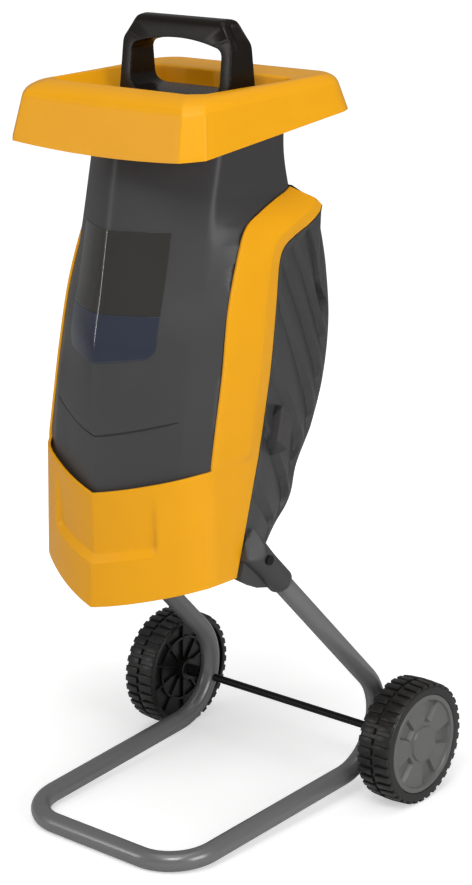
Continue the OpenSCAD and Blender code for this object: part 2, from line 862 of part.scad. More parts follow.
module rear_shell() {
    belly = (switch_z - rear_low) / (rear_top - rear_low);
    places = [0, 0.08, 0.17, 0.28, 0.38, 0.48, 0.57, belly, 0.77, 0.86, 0.93, 1];
    rows = [for (q = places) from_right(rear_half_row(q))];
    color(dark) in_body() difference() {
        union() {
            wall(concat(rows, [from_right(rear_ledge_row())]), shell_t);
            on_both_sides() {
                side_boss();
                for (i = [0 : slat_n - 1]) rear_slat(slat_first + slat_pitch * i);
            }
        }
        on_both_sides() translate([0, boss_screw[0], boss_screw[1]]) rotate([0, 90, 0])
            cylinder(r = house_screw_r + gap / 2, h = 2 * body_half);
    }
}

// Point of the rear shell's right half: q upwards, s from the middle of the back (0) to the band (1)
function rear_point(q, s) = let (row = rear_half_row(q)) along(row, s * (len(row) - 1));

// Slat that slants from the band, at q, down to the rear: its lower edge overhangs the next one.
module rear_slat(q) {
    stops = [slat_front : (slat_rear - slat_front) / 6 : slat_rear];
    on_shell = [
        for (part = [0, 0.5, 1])
            [for (s = stops) rear_point(min(q - slat_fall * (slat_front - s) + part * slat_w, 1), s)]
    ];
    out = function(p) unit([p[0], max(p[1], 0), 0]);
    lifted = [
        for (r = [0 : 2])
            [for (p = on_shell[r]) p + (slat_h * (1 - r / 2) + gap) * out(p)]
    ];
    root = [for (row = on_shell) [for (p = row) p - slat_root * out(p)]];
    between(lifted, root, false, function(r, c) true);
}

// Box on the side of the rear shell that takes a housing screw
module side_boss() {
    translate([boss_from, 0, 0]) rotate([90, 0, 90]) linear_extrude(boss_to - boss_from)
        polygon(boss_outline);
}

module housing_screws() {
    color(steel) in_body() on_both_sides() translate([0, boss_screw[0], boss_screw[1]]) rotate([0, 90, 0]) {
        translate([0, 0, boss_from]) cylinder(r = house_screw_r, h = boss_to - boss_from);
        translate([0, 0, boss_to]) cylinder(r = 2 * house_screw_r, h = house_screw_r);
    }
}

// Plate that follows the facets of the panel, with a pointed lower edge
module label_plate() {
    under = [for (h = label_levels) both_sides([for (i = [0 : 3]) tower_row(h)[i]])];
    tip = label_low + label_point[1];
    color("#33322f") in_body() difference() {
        wall(moved_in(under, -label_t - gap, false), label_t);
        rotate([90, 0, 0]) linear_extrude(2 * body_half) polygon([
            [0, label_low], [label_point[0], tip], [label_half, label_low + label_corner],
            [body_half, label_low + label_corner], [body_half, 0],
            [-body_half, 0], [-body_half, label_low + label_corner],
            [-label_half, label_low + label_corner], [-label_point[0], tip]
        ]);
    }
}

// Leg sockets

module leg_socket() {
    hole_r = tube_r + gap / 2;
    difference() {
        union() {
            along_leg(hole_r + socket_t, -socket_l, leg_tail + socket_past);
            in_body() translate([bracket_x + gap, 0, 0]) rotate([90, 0, 90])
                linear_extrude(seat[0] - bracket_x) polygon(socket_web);
        }
        along_leg(hole_r, -2 * socket_l, leg_tail + gap);
        leg_screw_bar(leg_screw_r + gap / 2, 0, 2 * tube_d);
        in_body() translate([0, -step_z / 2, 0]) cube([bracket_x + gap, step_z, 2 * step_z]);
        in_body() before_cover_edge();
    }
}

// Cylinder along a leg, between two places measured from its screw
module along_leg(r, from, to) {
    leg_frame() translate([0, 0, leg_l + from]) cylinder(r = r, h = to - from);
}

// Space in front of the straight rear edge of the front cover, which the sockets stay out of
module before_cover_edge() {
    ends = [for (t = [0, 1]) let (row = fascia_row(t)) row[len(row) - 1] + [0, 2 * gap, 0]];
    rotate([90, 0, 90]) linear_extrude(2 * body_half) polygon([
        for (p = ends) [p[1], p[2]],
        [ends[1][1] - body_half, ends[1][2]],
        [ends[0][1] - body_half, ends[0][2]]
    ]);
}

module right_leg_socket() { color(dark) leg_socket(); }
module left_leg_socket() { color(dark) mirror([1, 0, 0]) leg_socket(); }

module leg_screws() {
    head = tube_r + gap / 2 + socket_t;
    color(steel) on_both_sides() {
        leg_screw_bar(leg_screw_r, tube_r - tube_wall, head);
        leg_screw_bar(2 * leg_screw_r, head, head + leg_screw_r);
    }
}

// Hopper and plunger

// Closed ring of the hopper from a row of hopper_keys
function hopper_ring(key) = let (
    half = key[0], front = key[1], back = key[2], chamfer = key[3], round = key[4],
    plan = concat(
        [[0, front], [half / 2, front]],
        [for (f = [0, 0.5, 1]) [half - chamfer * (1 - f), front + chamfer * f]],
        [[half, front * 0.6 + back * 0.4]],
        [for (a = [0, 30, 60, 90]) [half - round + round * cos(a), back - round + round * sin(a)]],
        [[0, back]]
    ),
    right = [for (p = plan) [p[0], p[1], ring_height(key, p)]],
    n = len(right))
    concat(right, [for (i = [n - 2 : -1 : 1]) mirrored(right[i])]);

// Height of a ring at a point in plan: it climbs to the rear and dips in the middle of the front.
function ring_height(key, p) = let (
    dip = p[1] > key[1] ? 0 : key[7] * (1 - pow(p[0] / key[0], 2)))
    key[5] + key[6] * (p[1] - key[1]) - dip;

module hopper() {
    color(yellow) in_body() wall([for (key = hopper_keys) hopper_ring(key)], shell_t, true);
}

module plunger() {
    half_paddle = feed_half - paddle_gap;
    color(black) in_body() translate([0, feed_y, 0]) {
        intersection() {
            rotate([90, 0, 0]) linear_extrude(feed_depth, center = true) handle_2d();
            rotate([90, 0, 90]) linear_extrude(2 * feed_half, center = true) handle_side_2d();
        }
        translate([-collar_w / 2, -collar_depth / 2, collar_z]) cube([collar_w, collar_depth, collar_t]);
        translate([-half_paddle, paddle_gap - feed_depth / 2, paddle_low])
            cube([2 * half_paddle, feed_depth - 2 * paddle_gap, collar_z - paddle_low]);
    }
}

// Side view of the handle
module handle_side_2d() {
    shoulder_z = grip_top - shoulder_drop;
    polygon([
        [-foot_deep, collar_z], [foot_deep, collar_z], [shoulder_deep, shoulder_z],
        [grip_deep, grip_top], [-grip_deep, grip_top], [-shoulder_deep, shoulder_z]
    ]);
}

// Front view of the handle, with its finger window
module handle_2d() {
    foot = handle_half + handle_lean;
    shoulder = handle_half - handle_lean;
    top = shoulder - shoulder_in;
    difference() {
        polygon([
            [-foot, collar_z], [foot, collar_z], [shoulder, grip_top - shoulder_drop],
            [top, grip_top], [-top, grip_top], [-shoulder, grip_top - shoulder_drop]
        ]);
        window_2d(collar_z + collar_t + window_sill, grip_top - grip_t);
    }
}

// Window with round lower corners and an arched top
module window_2d(low, high) {
    half = window_half;
    arch_r = (half * half + arch_h * arch_h) / (2 * arch_h);
    translate([-half, low + window_r]) square([2 * half, high - low - window_r]);
    translate([window_r - half, low]) square([2 * (half - window_r), window_r + 1]);
    for (s = [-1, 1]) translate([s * (half - window_r), low + window_r]) circle(window_r);
    intersection() {
        translate([-half, high - 1]) square([2 * half, arch_h + 1]);
        translate([0, high + arch_h - arch_r]) circle(arch_r);
    }
}

// Feed chute and cutting unit

module feed_chute() {
    color(dark) in_body() translate([0, feed_y, 0]) difference() {
        chute_block(shell_t, 0);
        chute_block(0, 1);
    }
}

// Chute body with its walls moved out by grow and its ends by over
module chute_block(grow, over) {
    top = floor_z - lip_h - gap;
    low = cover_top;
    bend = paddle_low - paddle_gap;
    wide = feed_half + grow;
    narrow = mouth_half + grow;
    rotate([90, 0, 0]) linear_extrude(feed_depth + 2 * grow, center = true) polygon([
        [-narrow, low - over], [narrow, low - over], [narrow, low], [wide, bend], [wide, top + over],
        [-wide, top + over], [-wide, bend], [-narrow, low]
    ]);
}

module axis_cylinder(r, from, to) {
    translate([0, 0, from]) cylinder(r = r, h = to - from);
}

module feed_mouth() {
    translate([-mouth_half, feed_front, deck_top]) cube([2 * mouth_half, feed_depth, 2 * chamber_h]);
}

module chamber_ring() {
    color(steel) in_body() difference() {
        axis_cylinder(chamber_r + ring_t, deck_top, cover_top - cover_t);
        axis_cylinder(chamber_r, deck_top - 1, cover_top);
        translate([-outlet_half, -2 * chamber_r, deck_top - 1])
            cube([2 * outlet_half, 2 * chamber_r, outlet_h]);
    }
}

module chamber_cover() {
    color(steel) in_body() difference() {
        axis_cylinder(chamber_r + ring_t, cover_top - cover_t, cover_top);
        feed_mouth();
    }
}

module counter_blade() {
    color(steel) in_body()
        translate([mouth_half, feed_front + counter_in, blade_top + blade_gap])
            cube([counter_w, feed_depth - 2 * counter_in, cover_top - cover_t - blade_top - blade_gap]);
}

module for_both_blades() {
    for (turn = [0, 180]) rotate(turn) children();
}

module at_blade_screws(z) {
    for (y = blade_holes) translate([blade_mid, y, z]) children();
}

module blade_disc() {
    color(steel) in_body() difference() {
        axis_cylinder(disc_d / 2, disc_low, disc_low + disc_t);
        axis_cylinder(shaft_r + run, 0, 2 * disc_low);
        for_both_blades() {
            at_blade_screws(disc_low - 1) cylinder(r = blade_screw_r + run, h = disc_t + 2);
            translate([blade_mid - blade_l / 2, blade_w / 2 + 1, disc_low - 1])
                cube([blade_l, chip_slot, disc_t + 2]);
        }
    }
}

module blade() {
    low = disc_low + disc_t;
    difference() {
        translate([blade_mid - blade_l / 2, -blade_w / 2, low]) cube([blade_l, blade_w, blade_t]);
        at_blade_screws(low - 1) cylinder(r = blade_screw_r + run, h = blade_t + 2);
        translate([0, blade_w / 2, low + blade_t]) rotate([bevel_angle, 0, 0]) translate([0, -blade_t, 0])
            cube([disc_d, 3 * blade_t, blade_t]);
    }
}

module right_blade() { color(steel) in_body() blade(); }
module left_blade() { color(steel) in_body() rotate(180) blade(); }

module blade_screws() {
    color(black) in_body() for_both_blades() {
        at_blade_screws(disc_low) cylinder(r = blade_screw_r, h = disc_t + blade_t);
        at_blade_screws(disc_low + disc_t + blade_t)
            cylinder(r = head_ratio * blade_screw_r, h = blade_head_h);
    }
}

module disc_nut() {
    color(steel) in_body() difference() {
        translate([0, 0, disc_low + disc_t]) cylinder(r = nut_r, h = nut_h, $fn = 6);
        axis_cylinder(thread_r + run, 0, 2 * disc_low);
    }
}

// Motor and its carriers

module motor_deck() {
    low = deck_top - deck_t;
    color(steel) in_body() difference() {
        union() {
            axis_cylinder(chamber_r + ring_t + deck_rim, low, deck_top);
            translate([-bracket_x, deck_front, low]) cube([2 * bracket_x, deck_wing, deck_t]);
        }
        axis_cylinder(bearing_r + gap / 2, 0, 2 * deck_top);
        at_bolts() translate([0, 0, low - 1]) cylinder(r = bolt_r + gap / 2, h = bolt_grip + 1);
        on_both_sides() at_deck_screws() translate([0, 0, low - 1])
            cylinder(r = bolt_r + gap / 2, h = deck_t + 2);
    }
}

module at_bolts() {
    for (a = [45 : 90 : 315]) rotate(a) translate([motor_d / 2 + flange_w / 2, 0, 0]) children();
}

module at_deck_screws() {
    for (y = deck_screw_at) translate([bracket_x - bracket_foot / 2, deck_front + y, 0]) children();
}

module side_bracket() {
    low = deck_top - deck_t;
    difference() {
        union() {
            translate([bracket_x - bracket_t, deck_front, bracket_low])
                cube([bracket_t, bracket_w, low - bracket_low]);
            translate([bracket_x - bracket_foot, deck_front, low - bracket_t])
                cube([bracket_foot, bracket_w, bracket_t]);
        }
        at_deck_screws() translate([0, 0, low - 2 * bracket_t])
            cylinder(r = bolt_r + gap / 2, h = 3 * bracket_t);
    }
}

module right_side_bracket() { color(steel) in_body() side_bracket(); }
module left_side_bracket() { color(steel) in_body() mirror([1, 0, 0]) side_bracket(); }

module deck_screws() {
    low = deck_top - deck_t - bracket_t;
    color(steel) in_body() on_both_sides() at_deck_screws() {
        translate([0, 0, low]) cylinder(r = bolt_r, h = deck_t + bracket_t);
        translate([0, 0, deck_top]) cylinder(r = head_ratio * bolt_r, h = bolt_r);
    }
}

// Plate that keeps the chips off the motor
module chip_shield() {
    low = deck_top - deck_t;
    color(dark) in_body() translate([-shield_half, shield_y, low - shield_h])
        cube([2 * shield_half, shell_t, shield_h - gap]);
}

module motor_can() {
    top = deck_top - deck_t;
    color(steel) in_body() difference() {
        union() {
            axis_cylinder(motor_d / 2, top - motor_l, top);
            axis_cylinder(motor_d / 2 + flange_w, top - flange_t, top);
        }
        axis_cylinder(motor_d / 2 - can_t, top - motor_l - 1, top + 1);
        at_bolts() translate([0, 0, top - 2 * flange_t])
            cylinder(r = bolt_r + gap / 2, h = 3 * flange_t);
    }
}

module motor_end_cap() {
    top = deck_top - deck_t - motor_l;
    color(dark) in_body() difference() {
        axis_cylinder(motor_d / 2, top - cap_h, top);
        axis_cylinder(low_bearing_r + gap / 2, top - cap_h + can_t, top + 1);
    }
}

module bearing(r, low, h) {
    difference() {
        axis_cylinder(r, low, low + h);
        axis_cylinder(shaft_r + run, low - 1, low + h + 1);
    }
}

module upper_bearing() { color(steel) in_body() bearing(bearing_r, deck_top - deck_t, deck_t); }
module lower_bearing() { color(steel) in_body() bearing(low_bearing_r, shaft_low - 1, low_bearing_h); }

module motor_shaft() {
    color(steel) in_body() {
        axis_cylinder(shaft_r, shaft_low, disc_low + disc_t);
        axis_cylinder(thread_r, disc_low + disc_t - 1, disc_low + disc_t + nut_h + 2);
    }
}

module on_shaft(r, low, high) {
    difference() {
        axis_cylinder(r, low, high);
        axis_cylinder(shaft_r + run, low - 1, high + 1);
    }
}

module armature() {
    mid = deck_top - deck_t - motor_l;
    color("#a0602c") in_body()
        on_shaft(motor_d / 2 - can_t - core_gap, mid + core_low, mid + motor_l - core_top);
}

module cooling_fan() {
    low = deck_top - deck_t - fan_drop;
    color(black) in_body() difference() {
        union() {
            axis_cylinder(shaft_r + fan_hub, low, low + fan_h);
            axis_cylinder(fan_r, low, low + vane_t);
            for (i = [0 : vane_n - 1]) rotate(360 / vane_n * i)
                translate([shaft_r + fan_hub - vane_t, -vane_t / 2, low])
                    cube([fan_r - shaft_r - fan_hub, vane_t, fan_h - vane_t]);
        }
        axis_cylinder(shaft_r + run, low - 1, low + fan_h + 1);
    }
}

module motor_bolts() {
    top = deck_top - deck_t;
    color(steel) in_body() at_bolts() {
        translate([0, 0, top - flange_t]) cylinder(r = bolt_r, h = flange_t + bolt_grip - gap);
        translate([0, 0, top - flange_t - bolt_r]) cylinder(r = head_ratio * bolt_r, h = bolt_r);
    }
}

// Switch housing at the back

module at_switch() {
    in_body() translate([0, switch_y, switch_z]) children();
}

// Box centred on the switch housing's face at x, from one depth to another
module switch_box(x, w, h, from, to) {
    translate([x - w / 2, from, -h / 2]) cube([w, to - from, h]);
}

module switch_housing() {
    inner = switch_deep - switch_face;
    color(dark) at_switch() difference() {
        switch_box(0, switch_w, switch_h, 0, switch_deep);
        switch_box(0, switch_w - 2 * switch_wall, switch_h - 2 * switch_wall, -1, inner);
        switch_box(rocker_x, rocker_w + 1, rocker_h + rocker_play, 0, 2 * switch_deep);
        switch_box(inlet_x, inlet_w, inlet_h, 0, 2 * switch_deep);
        rocker_pivot(pivot_r + run, rocker_w + 2 * switch_wall);
        translate([reset_x, 0, reset_z]) rotate([-90, 0, 0])
            cylinder(r = reset_d / 2 + run, h = 2 * switch_deep);
    }
}

module rocker_pivot(r, l) {
    translate([rocker_x, pivot_y, 0]) rotate([0, 90, 0]) cylinder(r = r, h = l, center = true);
}

// Rocker with a hollow face, on pivot pins that run in the housing
module rocker_switch() {
    half = rocker_h / 2;
    color("#202020") at_switch() {
        rocker_pivot(pivot_r, rocker_w + 2 * pivot_l);
        translate([rocker_x - rocker_w / 2, pivot_y, 0]) rotate([90, 0, 90]) linear_extrude(rocker_w)
            polygon([
                [-rocker_in, rocker_taper - half], [-rocker_in, half - rocker_taper],
                [rocker_out, half], [rocker_out - rocker_hollow, 0], [rocker_out, -half]
            ]);
    }
}

module reset_button() {
    color("#a02018") at_switch() translate([reset_x, switch_deep + reset_out, reset_z]) rotate([90, 0, 0])
        cylinder(d = reset_d, h = reset_out + switch_face + reset_in);
}

// Frame of the inlet: a box that is open to the rear
module mains_inlet() {
    back = switch_deep - inlet_deep;
    inside = 2 * switch_wall;
    color("#202020") at_switch() difference() {
        switch_box(inlet_x, inlet_w - gap, inlet_h - gap, back, switch_deep);
        switch_box(inlet_x, inlet_w - inside, inlet_h - inside, back + inlet_back, 2 * switch_deep);
        at_inlet_pins() translate([0, 0, -1]) cylinder(r = pin_r + gap / 2, h = inlet_back + 2);
    }
}

module at_inlet_pins() {
    for (z = [-pin_pitch, 0, pin_pitch])
        translate([inlet_x, switch_deep - inlet_deep, z]) rotate([-90, 0, 0]) children();
}

module inlet_pins() {
    color("#b08d57") at_switch() at_inlet_pins() cylinder(r = pin_r, h = inlet_deep - inlet_back);
}

// Hopper lock at the back of the neck

module lock_knob() {
    color(black) in_body() translate([0, tower_back + knob_gap, lock_z]) rotate([-90, 0, 0]) difference() {
        cylinder(d = knob_d, h = knob_h);
        translate([0, 0, -1]) cylinder(r = lock_stud_r + run, h = knob_h - knob_cap + 1);
        for (i = [0 : knob_grips - 1]) rotate(360 / knob_grips * (i + 0.5))
            translate([knob_d / 2 + knob_grip_r / 2, 0, -1]) cylinder(r = knob_grip_r, h = knob_h + 2);
    }
}

// Stud with a flange behind the wall of the neck
module lock_stud() {
    through = stud_flange + gap + shell_t + knob_gap;
    color(steel) in_body() translate([0, tower_back - shell_t - gap - stud_flange, lock_z])
        rotate([-90, 0, 0]) {
            cylinder(r = 2 * lock_stud_r, h = stud_flange);
            cylinder(r = lock_stud_r, h = through + knob_h - knob_cap - 1);
        }
}

front_bow();
left_leg_tube();
right_leg_tube();
axle();
axle_spacers();
axle_push_nuts();
left_wheel();
right_wheel();
left_hub_cap();
right_hub_cap();
left_leg_socket();
right_leg_socket();
leg_screws();
front_cover();
feed_tower();
rear_shell();
label_plate();
hopper();
plunger();
feed_chute();
chamber_cover();
chamber_ring();
counter_blade();
blade_disc();
left_blade();
right_blade();
blade_screws();
disc_nut();
motor_deck();
left_side_bracket();
right_side_bracket();
deck_screws();
chip_shield();
motor_can();
motor_end_cap();
armature();
motor_shaft();
upper_bearing();
lower_bearing();
cooling_fan();
motor_bolts();
switch_housing();
rocker_switch();
reset_button();
mains_inlet();
inlet_pins();
lock_knob();
lock_stud();
housing_screws();
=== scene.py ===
"""Studio scene of a garden shredder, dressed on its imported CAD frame.

The moulded shells, the plunger, the wheels and the hub caps are remade here with soft edges
and fine surface detail. Sizes are in millimetres, in the frame of the CAD part.
"""

import logging
import math
from dataclasses import dataclass, field
from enum import Enum
from typing import Callable, Optional, Sequence

import bmesh
import bpy
import numpy as np
from mathutils import Matrix, Vector


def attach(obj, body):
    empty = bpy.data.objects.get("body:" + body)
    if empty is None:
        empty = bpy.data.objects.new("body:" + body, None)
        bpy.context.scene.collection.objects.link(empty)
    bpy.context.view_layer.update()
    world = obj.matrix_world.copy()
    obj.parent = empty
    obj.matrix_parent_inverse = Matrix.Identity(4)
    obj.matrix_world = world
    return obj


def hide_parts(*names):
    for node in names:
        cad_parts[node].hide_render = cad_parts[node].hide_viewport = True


LOG = logging.getLogger("shredder")
MM = 0.001
# The housing is drawn in its own frame and moved by this much to meet the legs of the stand.
HOUSING_SHIFT = np.array((0.0, 0.471, -0.42))
# Mirrors a point across the middle plane.
FLIP_X = np.array((-1.0, 1.0, 1.0))
# Edges that turn by more than these angles stay sharp, or are rounded as the free edge of a wall.
SHARP_DEG = 35.0
FREE_EDGE_DEG = 55.0
# Points closer than this are one point.
MERGE_MM = 0.001

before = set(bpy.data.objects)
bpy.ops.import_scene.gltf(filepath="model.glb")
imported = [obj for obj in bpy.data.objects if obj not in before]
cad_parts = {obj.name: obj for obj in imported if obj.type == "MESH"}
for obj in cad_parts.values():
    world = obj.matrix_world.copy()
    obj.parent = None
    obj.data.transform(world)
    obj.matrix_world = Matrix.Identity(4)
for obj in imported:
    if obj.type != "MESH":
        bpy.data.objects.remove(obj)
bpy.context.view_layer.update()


class Body(str, Enum):
    """Bodies of the CAD part that pieces ride on."""

    HOUSING = "housing"
    LEFT_WHEEL = "left_wheel_unit"
    RIGHT_WHEEL = "right_wheel_unit"
    PLUNGER = "plunger"


class Side(Enum):
    """The two sides of the machine, as the sign of X."""

    LEFT = -1
    RIGHT = 1


# Numbers and curves


def smoothstep(low: float, high: float, at: float) -> float:
    """Soft step from 0 to 1 between two places.

    Args:
        low: Place where the step starts.
        high: Place where the step ends.
        at: Place to read.

    Returns:
        A value from 0 to 1.
    """
    t = min(max((at - low) / (high - low), 0.0), 1.0)
    return t * t * (3.0 - 2.0 * t)


def curve(keys: Sequence[tuple], at: float) -> np.ndarray:
    """Smooth value through keys of place and value.

    Args:
        keys: Pairs of a place and a number or vector, in rising order.
        at: Place to read; outside the keys the end value holds.

    Returns:
        The value at that place.
    """
    places = [key[0] for key in keys]
    values = [np.asarray(key[1], float) for key in keys]
    t = min(max(at, places[0]), places[-1])
    i = 0
    while i < len(keys) - 2 and t >= places[i + 1]:
        i += 1

    def slope(k: int) -> np.ndarray:
        """Slope of the keys at index k."""
        a, b = max(k - 1, 0), min(k + 1, len(keys) - 1)
        return (values[b] - values[a]) / (places[b] - places[a])

    d = places[i + 1] - places[i]
    f = (t - places[i]) / d
    g = 1.0 - f
    return (
        values[i] * (g * g * (1 + 2 * f))
        + values[i + 1] * (f * f * (1 + 2 * g))
        + slope(i) * (d * f * g * g)
        - slope(i + 1) * (d * f * f * g)
    )


def along(points: Sequence[Sequence[float]], t: float) -> np.ndarray:
    """Smooth point along a list of points.

    Args:
        points: The points to pass through.
        t: Place along them, counted in points.

    Returns:
        The point at that place.
    """
    return curve(list(enumerate(points)), t)


def fillet(a: np.ndarray, b: np.ndarray, c: np.ndarray, reach: float, steps: int) -> list[np.ndarray]:
    """Round the corner b of the path a, b, c.

    Args:
        a: Point before the corner.
        b: The corner.
        c: Point after the corner.
        reach: How far from the corner the round starts.
        steps: Number of points to give.

    Returns:
        Points of a smooth arc from the side of a to the side of c.
    """
    start = b + (a - b) * min(1.0, reach / np.linalg.norm(a - b))
    end = b + (c - b) * min(1.0, reach / np.linalg.norm(c - b))
    return [
        start * (1 - t) ** 2 + b * 2 * t * (1 - t) + end * t * t
        for t in np.linspace(0.0, 1.0, steps)
    ]


def mirrored_row(half: Sequence[np.ndarray]) -> list[np.ndarray]:
    """Row from the left edge to the right edge, from its right half.

    Args:
        half: Points from the middle to the right edge.

    Returns:
        The whole row.
    """
    return [p * FLIP_X for p in half[:0:-1]] + list(half)


def ring_row(half: Sequence[np.ndarray]) -> list[np.ndarray]:
    """Closed row from its right half, which starts and ends on the middle plane.

    Args:
        half: Points from the front middle round to the rear middle.

    Returns:
        The whole ring, without a repeated point.
    """
    return list(half) + [p * FLIP_X for p in half[-2:0:-1]]


# Meshes


def new_object(name: str, verts: np.ndarray, faces: Sequence[Sequence[int]]) -> bpy.types.Object:
    """Make a mesh object at the origin from points in millimetres.

    Args:
        name: Name of the object.
        verts: Points, in millimetres.
        faces: Faces as lists of point numbers.

    Returns:
        The object, linked to the scene.
    """
    mesh = bpy.data.meshes.new(name)
    mesh.from_pydata([tuple(v) for v in np.asarray(verts, float) * MM], [], [tuple(f) for f in faces])
    mesh.validate()
    obj = bpy.data.objects.new(name, mesh)
    bpy.context.scene.collection.objects.link(obj)
    return obj


def closed_object(name: str, verts: np.ndarray, faces: Sequence[Sequence[int]]) -> bpy.types.Object:
    """Make an object from a closed mesh and turn its faces outwards.

    Args:
        name: Name of the object.
        verts: Points, in millimetres.
        faces: Faces as lists of point numbers, in either direction.

    Returns:
        The object, linked to the scene.
    """
    obj = new_object(name, verts, faces)
    mesh = bmesh.new()
    mesh.from_mesh(obj.data)
    bmesh.ops.remove_doubles(mesh, verts=mesh.verts, dist=MERGE_MM * MM)
    bmesh.ops.recalc_face_normals(mesh, faces=mesh.faces)
    mesh.to_mesh(obj.data)
    mesh.free()
    return obj


def points_and_faces(mesh: bmesh.types.BMesh) -> tuple[np.ndarray, list[tuple[int, ...]]]:
    """Read a mesh out and free it.

    Args:
        mesh: Mesh to read.

    Returns:
        Its points, and its faces as point numbers.
    """
    mesh.verts.index_update()
    points = np.array([v.co for v in mesh.verts])
    faces = [tuple(v.index for v in face.verts) for face in mesh.faces]
    mesh.free()
    return points, faces


def ring_faces(rings: int, n: int, closed: bool = False) -> list[tuple[int, ...]]:
    """Faces between rings of points that follow each other.

    Args:
        rings: Number of rings.
        n: Number of points in each ring.
        closed: True where the last ring meets the first.

    Returns:
        The faces as point numbers.
    """
    faces = []
    for k in range(rings if closed else rings - 1):
        a, b = k * n, (k + 1) % rings * n
        faces += [(a + i, b + i, b + (i + 1) % n, a + (i + 1) % n) for i in range(n)]
    return faces


def bake(obj: bpy.types.Object, sharp_deg: float = SHARP_DEG) -> bpy.types.Object:
    """Apply the modifiers of an object and shade it smooth between its sharp edges.

    Args:
        obj: Object to finish.
        sharp_deg: Edges that turn by more than this stay sharp.

    Returns:
        The same object with a plain mesh.
    """
    depsgraph = bpy.context.evaluated_depsgraph_get()
    mesh = bpy.data.meshes.new_from_object(obj.evaluated_get(depsgraph))
    obj.modifiers.clear()
    old, obj.data = obj.data, mesh
    mesh.name = obj.name
    bpy.data.meshes.remove(old)
    mesh.polygons.foreach_set("use_smooth", [True] * len(mesh.polygons))
    mesh.set_sharp_from_angle(angle=math.radians(sharp_deg))
    return obj


def add_bevel(obj: bpy.types.Object, width_mm: float, limit_deg: float, segments: int = 3) -> None:
    """Round the edges of an object that turn by more than a limit.

    Args:
        obj: Object to round.
        width_mm: Width of the round.
        limit_deg: Smallest angle that is rounded.
        segments: Number of strips in each round.
    """
    bevel = obj.modifiers.new("round", "BEVEL")
    bevel.width = width_mm * MM
    bevel.segments = segments
    bevel.limit_method = "ANGLE"
    bevel.angle_limit = math.radians(limit_deg)


def add_thickness(obj: bpy.types.Object, wall_mm: float, even: bool) -> None:
    """Give an open surface a wall on its inner side.

    Args:
        obj: Object to thicken.
        wall_mm: Thickness of the wall.
        even: True to keep the thickness at folds, False where narrow tips would spike.
    """
    solid = obj.modifiers.new("wall", "SOLIDIFY")
    solid.thickness = wall_mm * MM
    solid.offset = -1.0
    solid.use_even_offset = even
    solid.thickness_clamp = 1.0


@dataclass
class Surface:
    """Grid of points: rows upwards, columns so that across x up points outwards."""

    rows: list[list[np.ndarray]]
    ring: bool = False
    keep: Optional[Callable[[int, int], bool]] = None
    even: bool = True

    def object(self, name: str, wall_mm: float, edge_mm: float = 1.1) -> bpy.types.Object:
        """Make the surface a moulded wall.

        Args:
            name: Name of the object.
            wall_mm: Thickness of the wall.
            edge_mm: Round of the wall's free edges.

        Returns:
            The finished object.
        """
        points = np.array(self.rows)
        count, across = points.shape[:2]
        cells = across if self.ring else across - 1
        faces = []
        for r in range(count - 1):
            for c in range(cells):
                if self.keep is None or self.keep(r, c):
                    n = (c + 1) % across
                    faces.append((r * across + c, r * across + n, (r + 1) * across + n, (r + 1) * across + c))
        used = sorted({i for f in faces for i in f})
        index = {old: new for new, old in enumerate(used)}
        verts = points.reshape(-1, 3)[used] + HOUSING_SHIFT
        obj = new_object(name, verts, [[index[i] for i in f] for f in faces])
        add_thickness(obj, wall_mm, self.even)
        add_bevel(obj, edge_mm, FREE_EDGE_DEG)
        return bake(obj)


# Materials


def linear(hex_colour: str) -> tuple[float, float, float, float]:
    """Turn an sRGB hex colour into linear light.

    Args:
        hex_colour: Colour such as "#f0ad20".

    Returns:
        Red, green, blue and alpha for a shader socket.
    """
    parts = [int(hex_colour[i:i + 2], 16) / 255 for i in (1, 3, 5)]
    light = [v / 12.92 if v <= 0.04045 else ((v + 0.055) / 1.055) ** 2.4 for v in parts]
    return (*light, 1.0)


def add_node(
    tree: bpy.types.NodeTree, kind: str, settings: Optional[dict] = None, wires: Optional[dict] = None,
) -> bpy.types.Node:
    """Add a shader or geometry node with its settings and links.

    Args:
        tree: Tree to add the node to.
        kind: Type name of the node.
        settings: Attributes of the node, and values of its inputs under their names or numbers.
        wires: Inputs by name or number, and the output socket that each takes its value from.

    Returns:
        The node.
    """
    node = tree.nodes.new(kind)
    for key, value in (settings or {}).items():
        if isinstance(key, str) and hasattr(node, key):
            setattr(node, key, value)
        else:
            node.inputs[key].default_value = value
    for key, socket in (wires or {}).items():
        tree.links.new(socket, node.inputs[key])
    return node


